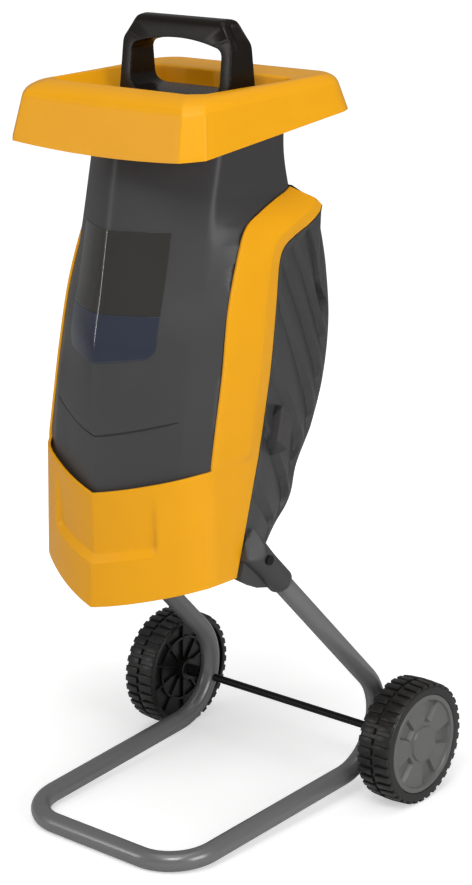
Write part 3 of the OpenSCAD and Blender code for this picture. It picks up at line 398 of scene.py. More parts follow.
@dataclass(frozen=True)
class Finish:
    """Surface finish of one real material.

    Attributes:
        name: Name of the material.
        colour: Main colour as sRGB hex.
        worn: Colour in worn or dusty spots, as sRGB hex.
        roughness: Mean roughness.
        spread: How much the roughness wanders.
        grain_mm: Size of the surface grain.
        grain_bump: Strength of the grain.
        metallic: 1 for bare metal.
        specular: Strength of the mirror reflection of a plastic.
        brushed: True where the grain runs one way.
        brush_scale: Scale of a brushed grain along its run.
        grain_deep_mm: Height of the grain at full strength.
        cloud_mm: Size of the clouds that the worn spots follow.
        worn_from: Values of the cloud from which and to which the worn colour grows.
        worn_most: Greatest share of the worn colour.
    """

    name: str
    colour: str
    worn: str
    roughness: float
    spread: float = 0.06
    grain_mm: float = 1.6
    grain_bump: float = 0.05
    metallic: float = 0.0
    specular: float = 0.5
    brushed: bool = False
    brush_scale: float = 0.08
    grain_deep_mm: float = 0.2
    cloud_mm: float = 60.0
    worn_from: tuple[float, float] = (0.45, 0.85)
    worn_most: float = 0.35

    def build(self) -> bpy.types.Material:
        """Make the node material of this finish.

        Returns:
            The material.
        """
        material = bpy.data.materials.new(self.name)
        material.use_nodes = True
        tree = material.node_tree
        tree.nodes.clear()
        place = add_node(tree, "ShaderNodeTexCoord").outputs["Object"]
        stretch = (1.0, 1.0, self.brush_scale if self.brushed else 1.0)
        run = add_node(tree, "ShaderNodeMapping", {"Scale": stretch}, {"Vector": place}).outputs["Vector"]
        cloud = add_node(
            tree, "ShaderNodeTexNoise", {"Scale": 1.0 / (self.cloud_mm * MM), "Detail": 4.0},
            {"Vector": place},
        )
        grain = add_node(
            tree, "ShaderNodeTexNoise", {"Scale": 1.0 / (self.grain_mm * MM), "Detail": 2.0}, {"Vector": run},
        ).outputs["Fac"]
        start, full = self.worn_from
        spots = add_node(
            tree, "ShaderNodeMapRange",
            {"From Min": start, "From Max": full, "To Min": 0.0, "To Max": self.worn_most},
            {"Value": cloud.outputs["Fac"]},
        )
        tint = add_node(
            tree, "ShaderNodeMix", {"data_type": "RGBA", 6: linear(self.colour), 7: linear(self.worn)},
            {0: spots.outputs["Result"]},
        )
        rough = add_node(
            tree, "ShaderNodeMapRange",
            {"To Min": self.roughness - self.spread, "To Max": self.roughness + self.spread},
            {"Value": grain},
        )
        bump = add_node(
            tree, "ShaderNodeBump", {"Strength": self.grain_bump, "Distance": self.grain_deep_mm * MM},
            {"Height": grain},
        )
        shader = add_node(
            tree, "ShaderNodeBsdfPrincipled",
            {"Metallic": self.metallic, "Specular IOR Level": self.specular},
            {
                "Base Color": tint.outputs[2], "Roughness": rough.outputs["Result"],
                "Normal": bump.outputs["Normal"],
            },
        )
        add_node(tree, "ShaderNodeOutputMaterial", wires={"Surface": shader.outputs["BSDF"]})
        return material


class Look(Enum):
    """Finishes of the machine, each named for what the piece is made of."""

    # Moulded ABS with a satin face: soft highlights and a very fine grain.
    YELLOW_ABS = Finish(
        "yellow_abs_moulding", "#f2a90f", "#eaa00e", 0.34, grain_mm=1.4, grain_bump=0.03, specular=0.25,
    )
    # Glass-filled polypropylene: dark grey, with a fine moulded grain that softens the light.
    DARK_PP = Finish(
        "dark_polypropylene", "#3e3e3f", "#444445", 0.42, grain_mm=1.2, grain_bump=0.05, specular=0.4,
    )
    # Black polypropylene, polished in the tool: deep black with clear highlights.
    BLACK_PP = Finish(
        "black_polypropylene", "#17130f", "#1c1713", 0.26, grain_mm=2.0, grain_bump=0.0, specular=0.2,
    )
    # Bare polyester film over the panel: flat and glossy, in charcoal and in navy.
    LABEL_FILM = Finish("polyester_label_film", "#32312e", "#353431", 0.12, spread=0.02, grain_bump=0.0)
    NAVY_FILM = Finish("navy_polyester_film", "#2f3442", "#323745", 0.12, spread=0.02, grain_bump=0.0)
    # Powder coated steel tube: an even grey coat with long, narrow highlights.
    TUBE_PAINT = Finish(
        "grey_powder_coat", "#7a7a7b", "#7f7f80", 0.27, spread=0.0, grain_bump=0.0, metallic=0.35,
    )
    # Hard black polyethylene of the wheels: dull black with a waxy sheen.
    WHEEL_PE = Finish("black_polyethylene", "#1a1817", "#211f1e", 0.38, grain_mm=1.5, grain_bump=0.05)
    # Moulded grey polypropylene of the hub caps: even, with a soft sheen.
    HUB_PP = Finish("grey_polypropylene", "#646463", "#6a6a69", 0.40, grain_mm=1.5, grain_bump=0.04)
    # Blackened steel rod: nearly black, with a dull metal sheen.
    AXLE_STEEL = Finish(
        "blackened_steel", "#141414", "#1b1b1b", 0.40, grain_mm=1.0, grain_bump=0.05, metallic=0.6,
    )
    # Zinc plated steel: pale grey metal with slightly darker clouds.
    ZINC_STEEL = Finish(
        "zinc_plated_steel", "#9a9b9d", "#8d8e90", 0.34, grain_mm=1.0, grain_bump=0.05, metallic=1.0,
    )
    # Ground tool steel: bright, with fine lines that run one way.
    BLADE_STEEL = Finish(
        "ground_tool_steel", "#b4b5b8", "#a3a4a7", 0.28, grain_mm=0.8, grain_bump=0.12, metallic=1.0,
        brushed=True,
    )
    # Sheet steel under grey paint: plain, with a soft sheen.
    MOTOR_STEEL = Finish("painted_sheet_steel", "#5a5b5d", "#626365", 0.45, grain_mm=2.0, grain_bump=0.05)
    # Varnished copper windings: warm brown metal with a rough face.
    COPPER_WIRE = Finish(
        "varnished_copper_wire", "#a0602c", "#8a4f22", 0.38, grain_mm=0.9, grain_bump=0.3, metallic=0.9,
    )
    # Moulded red polypropylene: plain, with a satin face.
    RED_PP = Finish("red_polypropylene", "#a02018", "#8f1c15", 0.35)
    # Moulded black polyamide: matt, with a grain that shows.
    CONTROL_PA = Finish("black_polyamide", "#202020", "#282828", 0.45, grain_mm=1.2, grain_bump=0.08)
    # Plated brass: warm, bright metal.
    BRASS_PIN = Finish("plated_brass", "#b08d57", "#9c7b49", 0.30, metallic=1.0)


class Palette:
    """Builds each finish once and hands it out."""

    def __init__(self) -> None:
        """Start with no material built."""
        self._built: dict[Look, bpy.types.Material] = {}

    def material(self, look: Look) -> bpy.types.Material:
        """Hand out the material of a finish.

        Args:
            look: Finish to use.

        Returns:
            Its material, built on first use.
        """
        if look not in self._built:
            self._built[look] = look.value.build()
        return self._built[look]

    def dress(self, obj: bpy.types.Object, look: Look) -> None:
        """Give an object one finish.

        Args:
            obj: Object to dress.
            look: Finish to use.
        """
        obj.data.materials.clear()
        obj.data.materials.append(self.material(look))


@dataclass
class Piece:
    """A finished piece and how it belongs to the CAD part."""

    obj: bpy.types.Object
    look: Look
    body: Body
    slot: str
    nodes: tuple[str, ...] = ()

    def place(self, palette: Palette) -> None:
        """Dress the piece, make it ride on its body and stand for its nodes.

        Args:
            palette: Source of the materials.
        """
        palette.dress(self.obj, self.look)
        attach(self.obj, self.body.value)
        if self.nodes:
            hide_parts(*self.nodes)
        LOG.info("%s: %d faces on %s", self.obj.name, len(self.obj.data.polygons), self.body.value)


# Studio


@dataclass
class Studio:
    """Camera, floor and lamps of the picture."""

    camera_at: tuple[float, float, float] = (1.824, -2.09675, 1.263)
    yaw_deg: float = 40.45
    pitch_deg: float = 15.97
    lens_mm: float = 95.55
    sensor_mm: float = 36.0
    sight: float = 50.0
    aim: tuple[float, float, float] = (0.0, 0.0, 0.55)
    room_light: float = 0.27
    floor_half_mm: float = 12000.0
    floor_grey: float = 0.8
    # Glow of the floor under the machine and away from it, and the distances from and to which it grows
    floor_glow: tuple[float, float] = (0.5, 0.85)
    glow_reach: tuple[float, float] = (0.35, 0.9)
    # Name, place, width, height and power of each soft box
    boxes: tuple = (
        ("top_box", (0.3, -0.6, 3.2), 2.6, 2.6, 22.0),
        ("left_box", (-2.4, -2.2, 1.7), 1.8, 1.8, 2.5),
        ("left_strip", (-1.7, -2.5, 1.05), 0.05, 1.3, 9.0),
        ("right_box", (2.8, -0.4, 1.2), 1.4, 1.4, 30.0),
        ("camera_box", (1.4, -2.2, 2.9), 1.2, 1.2, 40.0),
    )

    def build(self) -> None:
        """Make the camera first, then the lamps, the world and the floor."""
        self._camera()
        self._lamps()
        self._world()
        self._floor()

    def _camera(self) -> None:
        """Set the camera at the photograph's view."""
        yaw, pitch = math.radians(self.yaw_deg), math.radians(self.pitch_deg)
        right = Vector((math.cos(yaw), math.sin(yaw), 0.0))
        back = Vector((math.sin(yaw) * math.cos(pitch), -math.cos(yaw) * math.cos(pitch), math.sin(pitch)))
        data = bpy.data.cameras.new("view")
        data.lens = self.lens_mm
        data.sensor_width = self.sensor_mm
        data.clip_end = self.sight
        camera = bpy.data.objects.new("view", data)
        turn = Matrix((right, back.cross(right), back)).transposed().to_4x4()
        camera.matrix_world = Matrix.Translation(self.camera_at) @ turn
        bpy.context.scene.collection.objects.link(camera)
        bpy.context.scene.camera = camera
        bpy.context.scene.view_settings.view_transform = "Standard"

    def _lamps(self) -> None:
        """Hang soft boxes above, at both sides and beside the camera, and a narrow strip at the left."""
        for name, at, width, height, power in self.boxes:
            light = bpy.data.lights.new(name, "AREA")
            light.shape = "RECTANGLE"
            light.size, light.size_y = width, height
            light.energy = power
            lamp = bpy.data.objects.new(name, light)
            lamp.location = at
            lamp.rotation_euler = (Vector(self.aim) - Vector(at)).to_track_quat("-Z", "Y").to_euler()
            bpy.context.scene.collection.objects.link(lamp)

    def _world(self) -> None:
        """Light the room evenly, and show white where the camera looks past the floor."""
        world = bpy.data.worlds.new("room")
        world.use_nodes = True
        tree = world.node_tree
        tree.nodes.clear()
        white = (1.0, 1.0, 1.0, 1.0)
        room = add_node(tree, "ShaderNodeBackground", {"Color": white, "Strength": self.room_light})
        seen = add_node(tree, "ShaderNodeBackground", {"Color": white, "Strength": 1.0})
        path = add_node(tree, "ShaderNodeLightPath")
        mix = add_node(tree, "ShaderNodeMixShader", wires={
            0: path.outputs["Is Camera Ray"], 1: room.outputs["Background"], 2: seen.outputs["Background"],
        })
        add_node(tree, "ShaderNodeOutputWorld", wires={"Surface": mix.outputs["Shader"]})
        bpy.context.scene.world = world

    def _floor(self) -> None:
        """Lay a pale floor that looks white to the camera but keeps the machine's soft shadow."""
        half = self.floor_half_mm
        corners = [(-half, -half, 0), (half, -half, 0), (half, half, 0), (-half, half, 0)]
        floor = new_object("floor", np.array(corners), [(0, 1, 2, 3)])
        material = bpy.data.materials.new("pale_floor")
        material.use_nodes = True
        tree = material.node_tree
        tree.nodes.clear()
        paint = add_node(tree, "ShaderNodeBsdfDiffuse", {"Color": (*[self.floor_grey] * 3, 1.0)})
        place = add_node(tree, "ShaderNodeTexCoord")
        away = add_node(tree, "ShaderNodeVectorMath", {"operation": "LENGTH"}, {0: place.outputs["Object"]})
        near, far = self.glow_reach
        low, high = self.floor_glow
        grow = add_node(
            tree, "ShaderNodeMapRange", {"From Min": near, "From Max": far, "To Min": low, "To Max": high},
            {"Value": away.outputs["Value"]},
        )
        glow = add_node(tree, "ShaderNodeEmission", wires={"Strength": grow.outputs["Result"]})
        both = add_node(tree, "ShaderNodeAddShader", wires={
            0: paint.outputs["BSDF"], 1: glow.outputs["Emission"],
        })
        path = add_node(tree, "ShaderNodeLightPath")
        mix = add_node(tree, "ShaderNodeMixShader", wires={
            0: path.outputs["Is Camera Ray"], 1: paint.outputs["BSDF"], 2: both.outputs["Shader"],
        })
        add_node(tree, "ShaderNodeOutputMaterial", wires={"Surface": mix.outputs["Shader"]})
        floor.data.materials.append(material)


# Housing


@dataclass(frozen=True)
class HousingForm:
    """Sizes and shared curves of the housing, in its own drawing frame."""

    wall: float = 3.5
    skirt_z: float = 314.0
    step_z: float = 454.0
    chevron_rise: float = 0.2
    chevron_curl: float = 0.0006
    cover_proud: float = 7.0
    tower_half: float = 100.0
    tower_top: float = 876.0
    tower_back: float = 18.0
    body_half: float = 132.0
    bow_power: float = 1.4
    crease_soft: float = 0.03
    band_front_x: float = 131.5
    panel_tries: int = 8
    # Depth of the tower's middle and sweep of its corners, at heights
    crease_keys: tuple = ((454, -211), (624, -209), (692, -196), (850, -168), (876, -163))
    sweep_keys: tuple = ((454, 35), (540, 44), (600, 55), (690, 61), (876, 69))
    # Share of the chevron that the panel's rows follow, at heights
    lift_keys: tuple = ((454, 1.0), (530, 1.0), (600, 0.55), (722, 0.0))

    def rise(self, x: float) -> float:
        """Height that the chevron edges gain at a distance from the middle."""
        return self.chevron_rise * abs(x) + self.chevron_curl * x * x

    def lift(self, h: float) -> float:
        """Share of the chevron that the panel's row h follows."""
        return float(curve(self.lift_keys, h))

    def tower_front(self, f: float, h: float) -> np.ndarray:
        """Point of the tower's bowed front.

        Args:
            f: Fraction from the middle (0) to the corner (1).
            h: Row, as the height at the middle.

        Returns:
            The point in plan.
        """
        crease, sweep = float(curve(self.crease_keys, h)), float(curve(self.sweep_keys, h))
        power, soft = self.bow_power / 2, self.crease_soft ** 2
        share = ((f * f + soft) ** power - soft ** power) / ((1 + soft) ** power - soft ** power)
        return np.array((self.tower_half * f, crease + sweep * share))

    def panel_point(self, x: float, z: float, proud: float) -> np.ndarray:
        """Point in front of the feed tower's panel.

        Args:
            x: Distance from the middle.
            z: Height of the point.
            proud: How far the point stands in front of the panel.

        Returns:
            The point.
        """
        h = z
        for _ in range(self.panel_tries):
            h = z - self.rise(x) * self.lift(h)
        front = self.tower_front(abs(x) / self.tower_half, h)
        return np.array((x, front[1] - proud, z))


@dataclass
class FeedTower:
    """Dark neck and front panel in one moulding."""

    form: HousingForm
    cover: "FrontCover"
    neck_low: float = 742.0
    rear_corner: float = 12.0
    # Flare of the neck at its foot, and the height in which it runs out
    foot_flare: float = 9.0
    foot_high: float = 105.0
    corner_soft: float = 7.0
    tuck: float = 12.0
    # How far the side runs behind the edge of the band, and lies inside it
    lap: float = 8.0
    under: float = 4.0
    # Rear end of the side of the neck, and the height below the neck in which the side grows to it
    side_end: float = -33.0
    side_grow: float = 50.0
    # Part of the front that is plain, up to the round of its corner
    front_part: float = 0.92
    groove_z: float = 521.0
    groove_deep: float = 1.6
    line_deep: float = 2.2
    line_wide: float = 1.1
    groove_half: float = 94.0
    # Soft height of the groove, part of its half width that is full deep, and soft end of its line
    groove_soft: float = 1.0
    groove_full: float = 0.6
    line_soft: float = 3.0
    front_n: int = 18
    corner_n: int = 9
    side_n: int = 12
    rear_n: int = 9
    rear_x: tuple[float, float, float] = (45.0, 20.0, 0.0)
    # Rows near the groove; rows of the panel, of the neck's first part and of the rest
    groove_rows: tuple = (-3.0, -2.0, -1.2, -0.6, 0.0, 0.6, 1.2, 2.0, 3.0)
    panel_n: int = 38
    first_n: int = 17
    neck_n: int = 9
    # Height of the neck's first part, and the steps to it from the panel and on from it
    first_high: float = 60.0
    first_steps: tuple[float, float] = (8.0, 10.0)

    def _side(self, start: np.ndarray, h: float) -> list[np.ndarray]:
        """Side of the outline, which flares out to run under the band.

        Args:
            start: Last point of the rounded front corner.
            h: Row of the outline.

        Returns:
            Points from the corner to the rear, in plan.
        """
        form = self.form
        edge = np.array([pair[0] for pair in self.cover.band_keys], float)
        z = h + form.rise(form.band_front_x) * form.lift(h)
        band_x, band_y = np.interp(z, edge[:, 2], edge[:, 0]), np.interp(z, edge[:, 2], edge[:, 1])
        full = smoothstep(self.neck_low - self.side_grow, self.neck_low, h)
        end = (band_y + self.lap) * (1 - full) + self.side_end * full
        points = []
        for t in np.linspace(0.0, 1.0, self.side_n + 1)[1:]:
            y = start[1] + (end - start[1]) * t
            if y <= band_y:
                share = (y - start[1]) / (band_y - start[1])
                x = start[0] + (max(band_x - self.under, start[0]) - start[0]) * share
            else:
                x = max(np.interp(y, edge[:, 1], edge[:, 0]) - self.under, form.tower_half)
            points.append(np.array((x, y)))
        return points

    def _half(self, h: float) -> list[np.ndarray]:
        """Right half of the outline at a row.

        Args:
            h: Row, as the height at the middle.

        Returns:
            Points from the front middle to the rear middle.
        """
        form = self.form
        plan = [form.tower_front(f, h) for f in np.linspace(0.0, self.front_part, self.front_n)]
        corner = form.tower_front(1.0, h)
        side = self._side(corner, h)
        plan += fillet(plan[-1], corner, side[0], self.corner_soft, self.corner_n)[1:]
        plan += side
        wide = self.groove_half
        below = 1.0 - smoothstep(self.groove_z - self.groove_soft, self.groove_z + self.groove_soft, h)
        line = math.exp(-((h - self.groove_z) / self.line_wide) ** 2)
        for p in plan[:self.front_n + self.corner_n]:
            p[1] += self.groove_deep * below * smoothstep(wide, self.groove_full * wide, p[0])
            p[1] += self.line_deep * line * smoothstep(wide + self.line_soft, wide, p[0])
        c = self.rear_corner
        out = self.foot_flare * smoothstep(self.neck_low + self.foot_high, self.neck_low, h)
        middle = np.array((form.tower_half + out - c, form.tower_back + out - c))
        turns = np.linspace(0.0, math.pi / 2, self.rear_n)
        plan += [middle + c * np.array((math.cos(a), math.sin(a))) for a in turns]
        plan += [np.array((x, form.tower_back + out)) for x in self.rear_x]
        return [np.array((p[0], p[1], h + form.rise(p[0]) * form.lift(h))) for p in plan]

    def build(self) -> Piece:
        """Make the tower.

        Returns:
            The piece.
        """
        form = self.form
        below, above = self.first_steps
        first_top = self.neck_low + self.first_high
        levels = sorted([
            *np.linspace(form.step_z - self.tuck, self.neck_low - below, self.panel_n),
            *[self.groove_z + d for d in self.groove_rows],
            *np.linspace(self.neck_low, first_top, self.first_n),
            *np.linspace(first_top + above, form.tower_top, self.neck_n),
        ])
        rows = [ring_row(self._half(h)) for h in levels]
        last = self.front_n + self.corner_n - 1 + self.side_n - 1
        across = len(rows[0])
        neck_row = next(i for i, h in enumerate(levels) if h >= self.neck_low)
        surface = Surface(rows, True, lambda r, c: r >= neck_row or c < last or c >= across - last)
        obj = surface.object("feed_tower_moulding", form.wall)
        return Piece(obj, Look.DARK_PP, Body.HOUSING, "dark_plastic", ("feed_tower",))


@dataclass
class LabelFilm:
    """Bare film on the panel: a dark field with a navy shield below it."""

    form: HousingForm
    half: float = 67.0
    high: float = 760.0
    join: float = 666.0
    film: float = 0.8
    gap: float = 0.3
    edge_soft: float = 0.25
    across_n: int = 68
    up_n: int = 28
    # Height of the lower edge at distances from the middle
    low_keys: tuple = ((0, 608), (54, 616.5), (60, 618.5), (64, 622.5), (67, 630))

    def _patch(self, name: str, low: Callable[[float], float], high: float) -> bpy.types.Object:
        """Thin patch that follows the panel.

        Args:
            name: Name of the object.
            low: Lower edge at a distance from the middle.
            high: Upper edge.

        Returns:
            The object.
        """
        proud = self.film + self.gap
        xs = np.linspace(-self.half, self.half, self.across_n)
        rows = [
            [self.form.panel_point(x, low(abs(x)) * (1 - t) + high * t, proud) for x in xs]
            for t in np.linspace(0.0, 1.0, self.up_n)
        ]
        return Surface(rows).object(name, self.film, self.edge_soft)

    def build(self) -> list[Piece]:
        """Make the two parts of the film.

        Returns:
            The pieces.
        """
        places, heights = zip(*self.low_keys)
        main = self._patch("label_field", lambda x: self.join, self.high)
        shield = self._patch(
            "label_shield", lambda x: float(np.interp(x, places, heights)), self.join - self.gap,
        )
        return [
            Piece(main, Look.LABEL_FILM, Body.HOUSING, "label_film", ("label_plate",)),
            Piece(shield, Look.NAVY_FILM, Body.HOUSING, "label_film"),
        ]


@dataclass
class FrontCover:
    """Yellow fascia with the two side bands that run up and over the shoulders."""

    form: HousingForm
    low_crease: float = -222.0
    # Half width and sweep of the bowed front, at the lower edge and at the step
    low_bow: tuple[float, float] = (120.0, 50.0)
    high_bow: tuple[float, float] = (112.0, 40.0)
    crease_share: float = 0.4
    # Part of the front that is plain, and the round of the corner after it
    front_part: float = 0.9
    corner_soft: float = 16.0
    front_n: int = 34
    corner_n: int = 8
    fascia_n: int = 36
    recess_low: float = 368.0
    recess_full: float = 379.0
    recess_deep: float = 6.0
    recess_half: tuple[float, float] = (75.0, 81.0)
    fold_rows: tuple[float, float, float] = (-1.0, 0.0, 1.0)
    # Columns of the band: the plain part of its wide face, the round of the facet's edge, and the facet
    band_n: int = 13
    wide_part: float = 0.86
    wide_n: int = 7
    facet_soft: float = 3.0
    facet_n: int = 4
    facet_parts: tuple[float, float, float] = (0.55, 0.8, 1.0)
    # Place of the facet's edge across the band, and how far it stands out along the band
    facet_at: float = 0.72
    facet_keys: tuple = ((0, 3.5), (4, 5), (7, 8), (9, 5))
    band_rows: int = 72
    spare_step: float = 20.0
    edge_soft: float = 1.4
    band_keys: list = field(default_factory=list)

    def __post_init__(self) -> None:
        """Work out the edges of the band from the fascia upwards."""
        x, half = self.form.band_front_x, self.form.body_half
        top = self._fascia_half(1.0)
        self.band_keys = [
            (top[-self.band_n], top[-1]),
            ((x, -145, 540), (half, -61, 540)),
            ((x, -133.5, 600), (half, -49, 600)),
            ((128, -119, 675), (half, -40, 670)),
            ((124.5, -95, 742), (131, -34, 714)),
            ((120, -78, 764), (130.5, -24, 733)),
            ((116, -48, 777), (130, -3, 744)),
            ((111, -18, 786), (129.5, 22, 753)),
            ((107, 6, 792), (128, 42, 763)),
            ((105, 16, 796), (125, 52, 772)),
        ]

    def _recess(self, x: float, base: float) -> float:
        """Depth of the shallow recess in the middle of the fascia.

        Args:
            x: Distance from the middle.
            base: Height of the row at the middle.

        Returns:
            How far the surface lies behind the plain fascia.
        """
        places = (self.recess_low, self.recess_full, self.form.step_z)
        deep = np.interp(base, places, (0.0, self.recess_deep, 0.0))
        return float(deep * np.interp(x, self.recess_half, (1.0, 0.0)))

    def _fascia_half(self, t: float) -> list[np.ndarray]:
        """Right half of a row between the lower edge (0) and the step (1).

        Args:
            t: Place of the row.

        Returns:
            Points from the middle to the rear edge; the last ones belong to the band.
        """
        form = self.form
        crease = self.low_crease * (1 - t) + (form.crease_keys[0][1] - form.cover_proud) * t
        half, sweep = np.array(self.low_bow) * (1 - t) + np.array(self.high_bow) * t
        base = form.skirt_z * (1 - t) + form.step_z * t
        body = form.body_half
        low = np.array(((body - 3, -160), (body, -145), (body + 0.5, -126), (body, -111)))
        high = np.array(((body - 8, -160.5), (form.band_front_x, -154), (body + 1, -100), (body, -72)))
        side = low * (1 - t) + high * t

        def front(f: float) -> np.ndarray:
            """Point of the creased front at a fraction of the way to its corner."""
            share = self.crease_share * f + (1 - self.crease_share) * f * f
            return np.array((half * f, crease + sweep * share))

        plan = [front(f) for f in np.linspace(0.0, self.front_part, self.front_n)]
        plan += fillet(plan[-1], front(1.0), side[0], self.corner_soft, self.corner_n)[1:]
        plan += [side[0] * (1 - f) + side[1] * f for f in (0.0, 0.5)]
        plan += self._band_plan(side[1], side[2], side[3])
        return [np.array((p[0], p[1] + self._recess(p[0], base), base + form.rise(p[0]))) for p in plan]

    def _band_plan(self, front: np.ndarray, facet: np.ndarray, rear: np.ndarray) -> list[np.ndarray]:
        """Points of the band between its three edges.

        Args:
            front: Front edge.
            facet: Edge between the wide face and the narrow facet.
            rear: Rear edge.

        Returns:
            As many points as the band has columns.
        """
        wide = [front * (1 - f) + facet * f for f in np.linspace(0.0, self.wide_part, self.wide_n)]
        soft = fillet(wide[-1], facet, rear, self.facet_soft, self.facet_n)
        return wide + soft[1:] + [facet * (1 - f) + rear * f for f in self.facet_parts]

    def _pair(self, k: float) -> tuple[np.ndarray, np.ndarray]:
        """Front and rear edge of the band at a place along it."""
        return along([p[0] for p in self.band_keys], k), along([p[1] for p in self.band_keys], k)

    def _band_half(self, k: float) -> list[np.ndarray]:
        """Row of the band above the step.

        Args:
            k: Place along the band, counted in its keys.

        Returns:
            Points from the front edge to the rear edge.
        """
        front, rear = self._pair(k)
        before, after = self._pair(max(k - 0.5, 0.0)), self._pair(min(k + 0.5, len(self.band_keys) - 1.0))
        up = after[0] + after[1] - before[0] - before[1]
        out = np.cross(rear - front, up)
        swell = float(curve(self.facet_keys, k)) * out / np.linalg.norm(out)
        return self._band_plan(front, front * (1 - self.facet_at) + rear * self.facet_at + swell, rear)

    def build(self) -> Piece:
        """Make the cover.

        Returns:
            The piece.
        """
        form = self.form
        edges = [z + d for z in (self.recess_low, self.recess_full) for d in self.fold_rows]
        bases = sorted([*np.linspace(form.skirt_z, form.step_z, self.fascia_n), *edges])
        fascia = [self._fascia_half((z - form.skirt_z) / (form.step_z - form.skirt_z)) for z in bases]
        top = fascia[-1]
        lead = len(top) - self.band_n
        bands = []
        # Above the step only the band's columns have faces. The spare points of the others are left out.
        for k in np.linspace(0.0, len(self.band_keys) - 1.0, self.band_rows)[1:]:
            spare = [p + np.array((0.0, 0.0, self.spare_step * k)) for p in top[:lead]]
            bands.append(spare + self._band_half(k))
        rows = [mirrored_row(half) for half in fascia + bands]
        last, across, band = len(fascia) - 1, len(rows[0]), self.band_n
        surface = Surface(rows, False, lambda r, c: r < last or c < band - 1 or c >= across - band)
        obj = surface.object("front_cover_moulding", form.wall, self.edge_soft)
        return Piece(obj, Look.YELLOW_ABS, Body.HOUSING, "yellow_plastic", ("front_cover",))


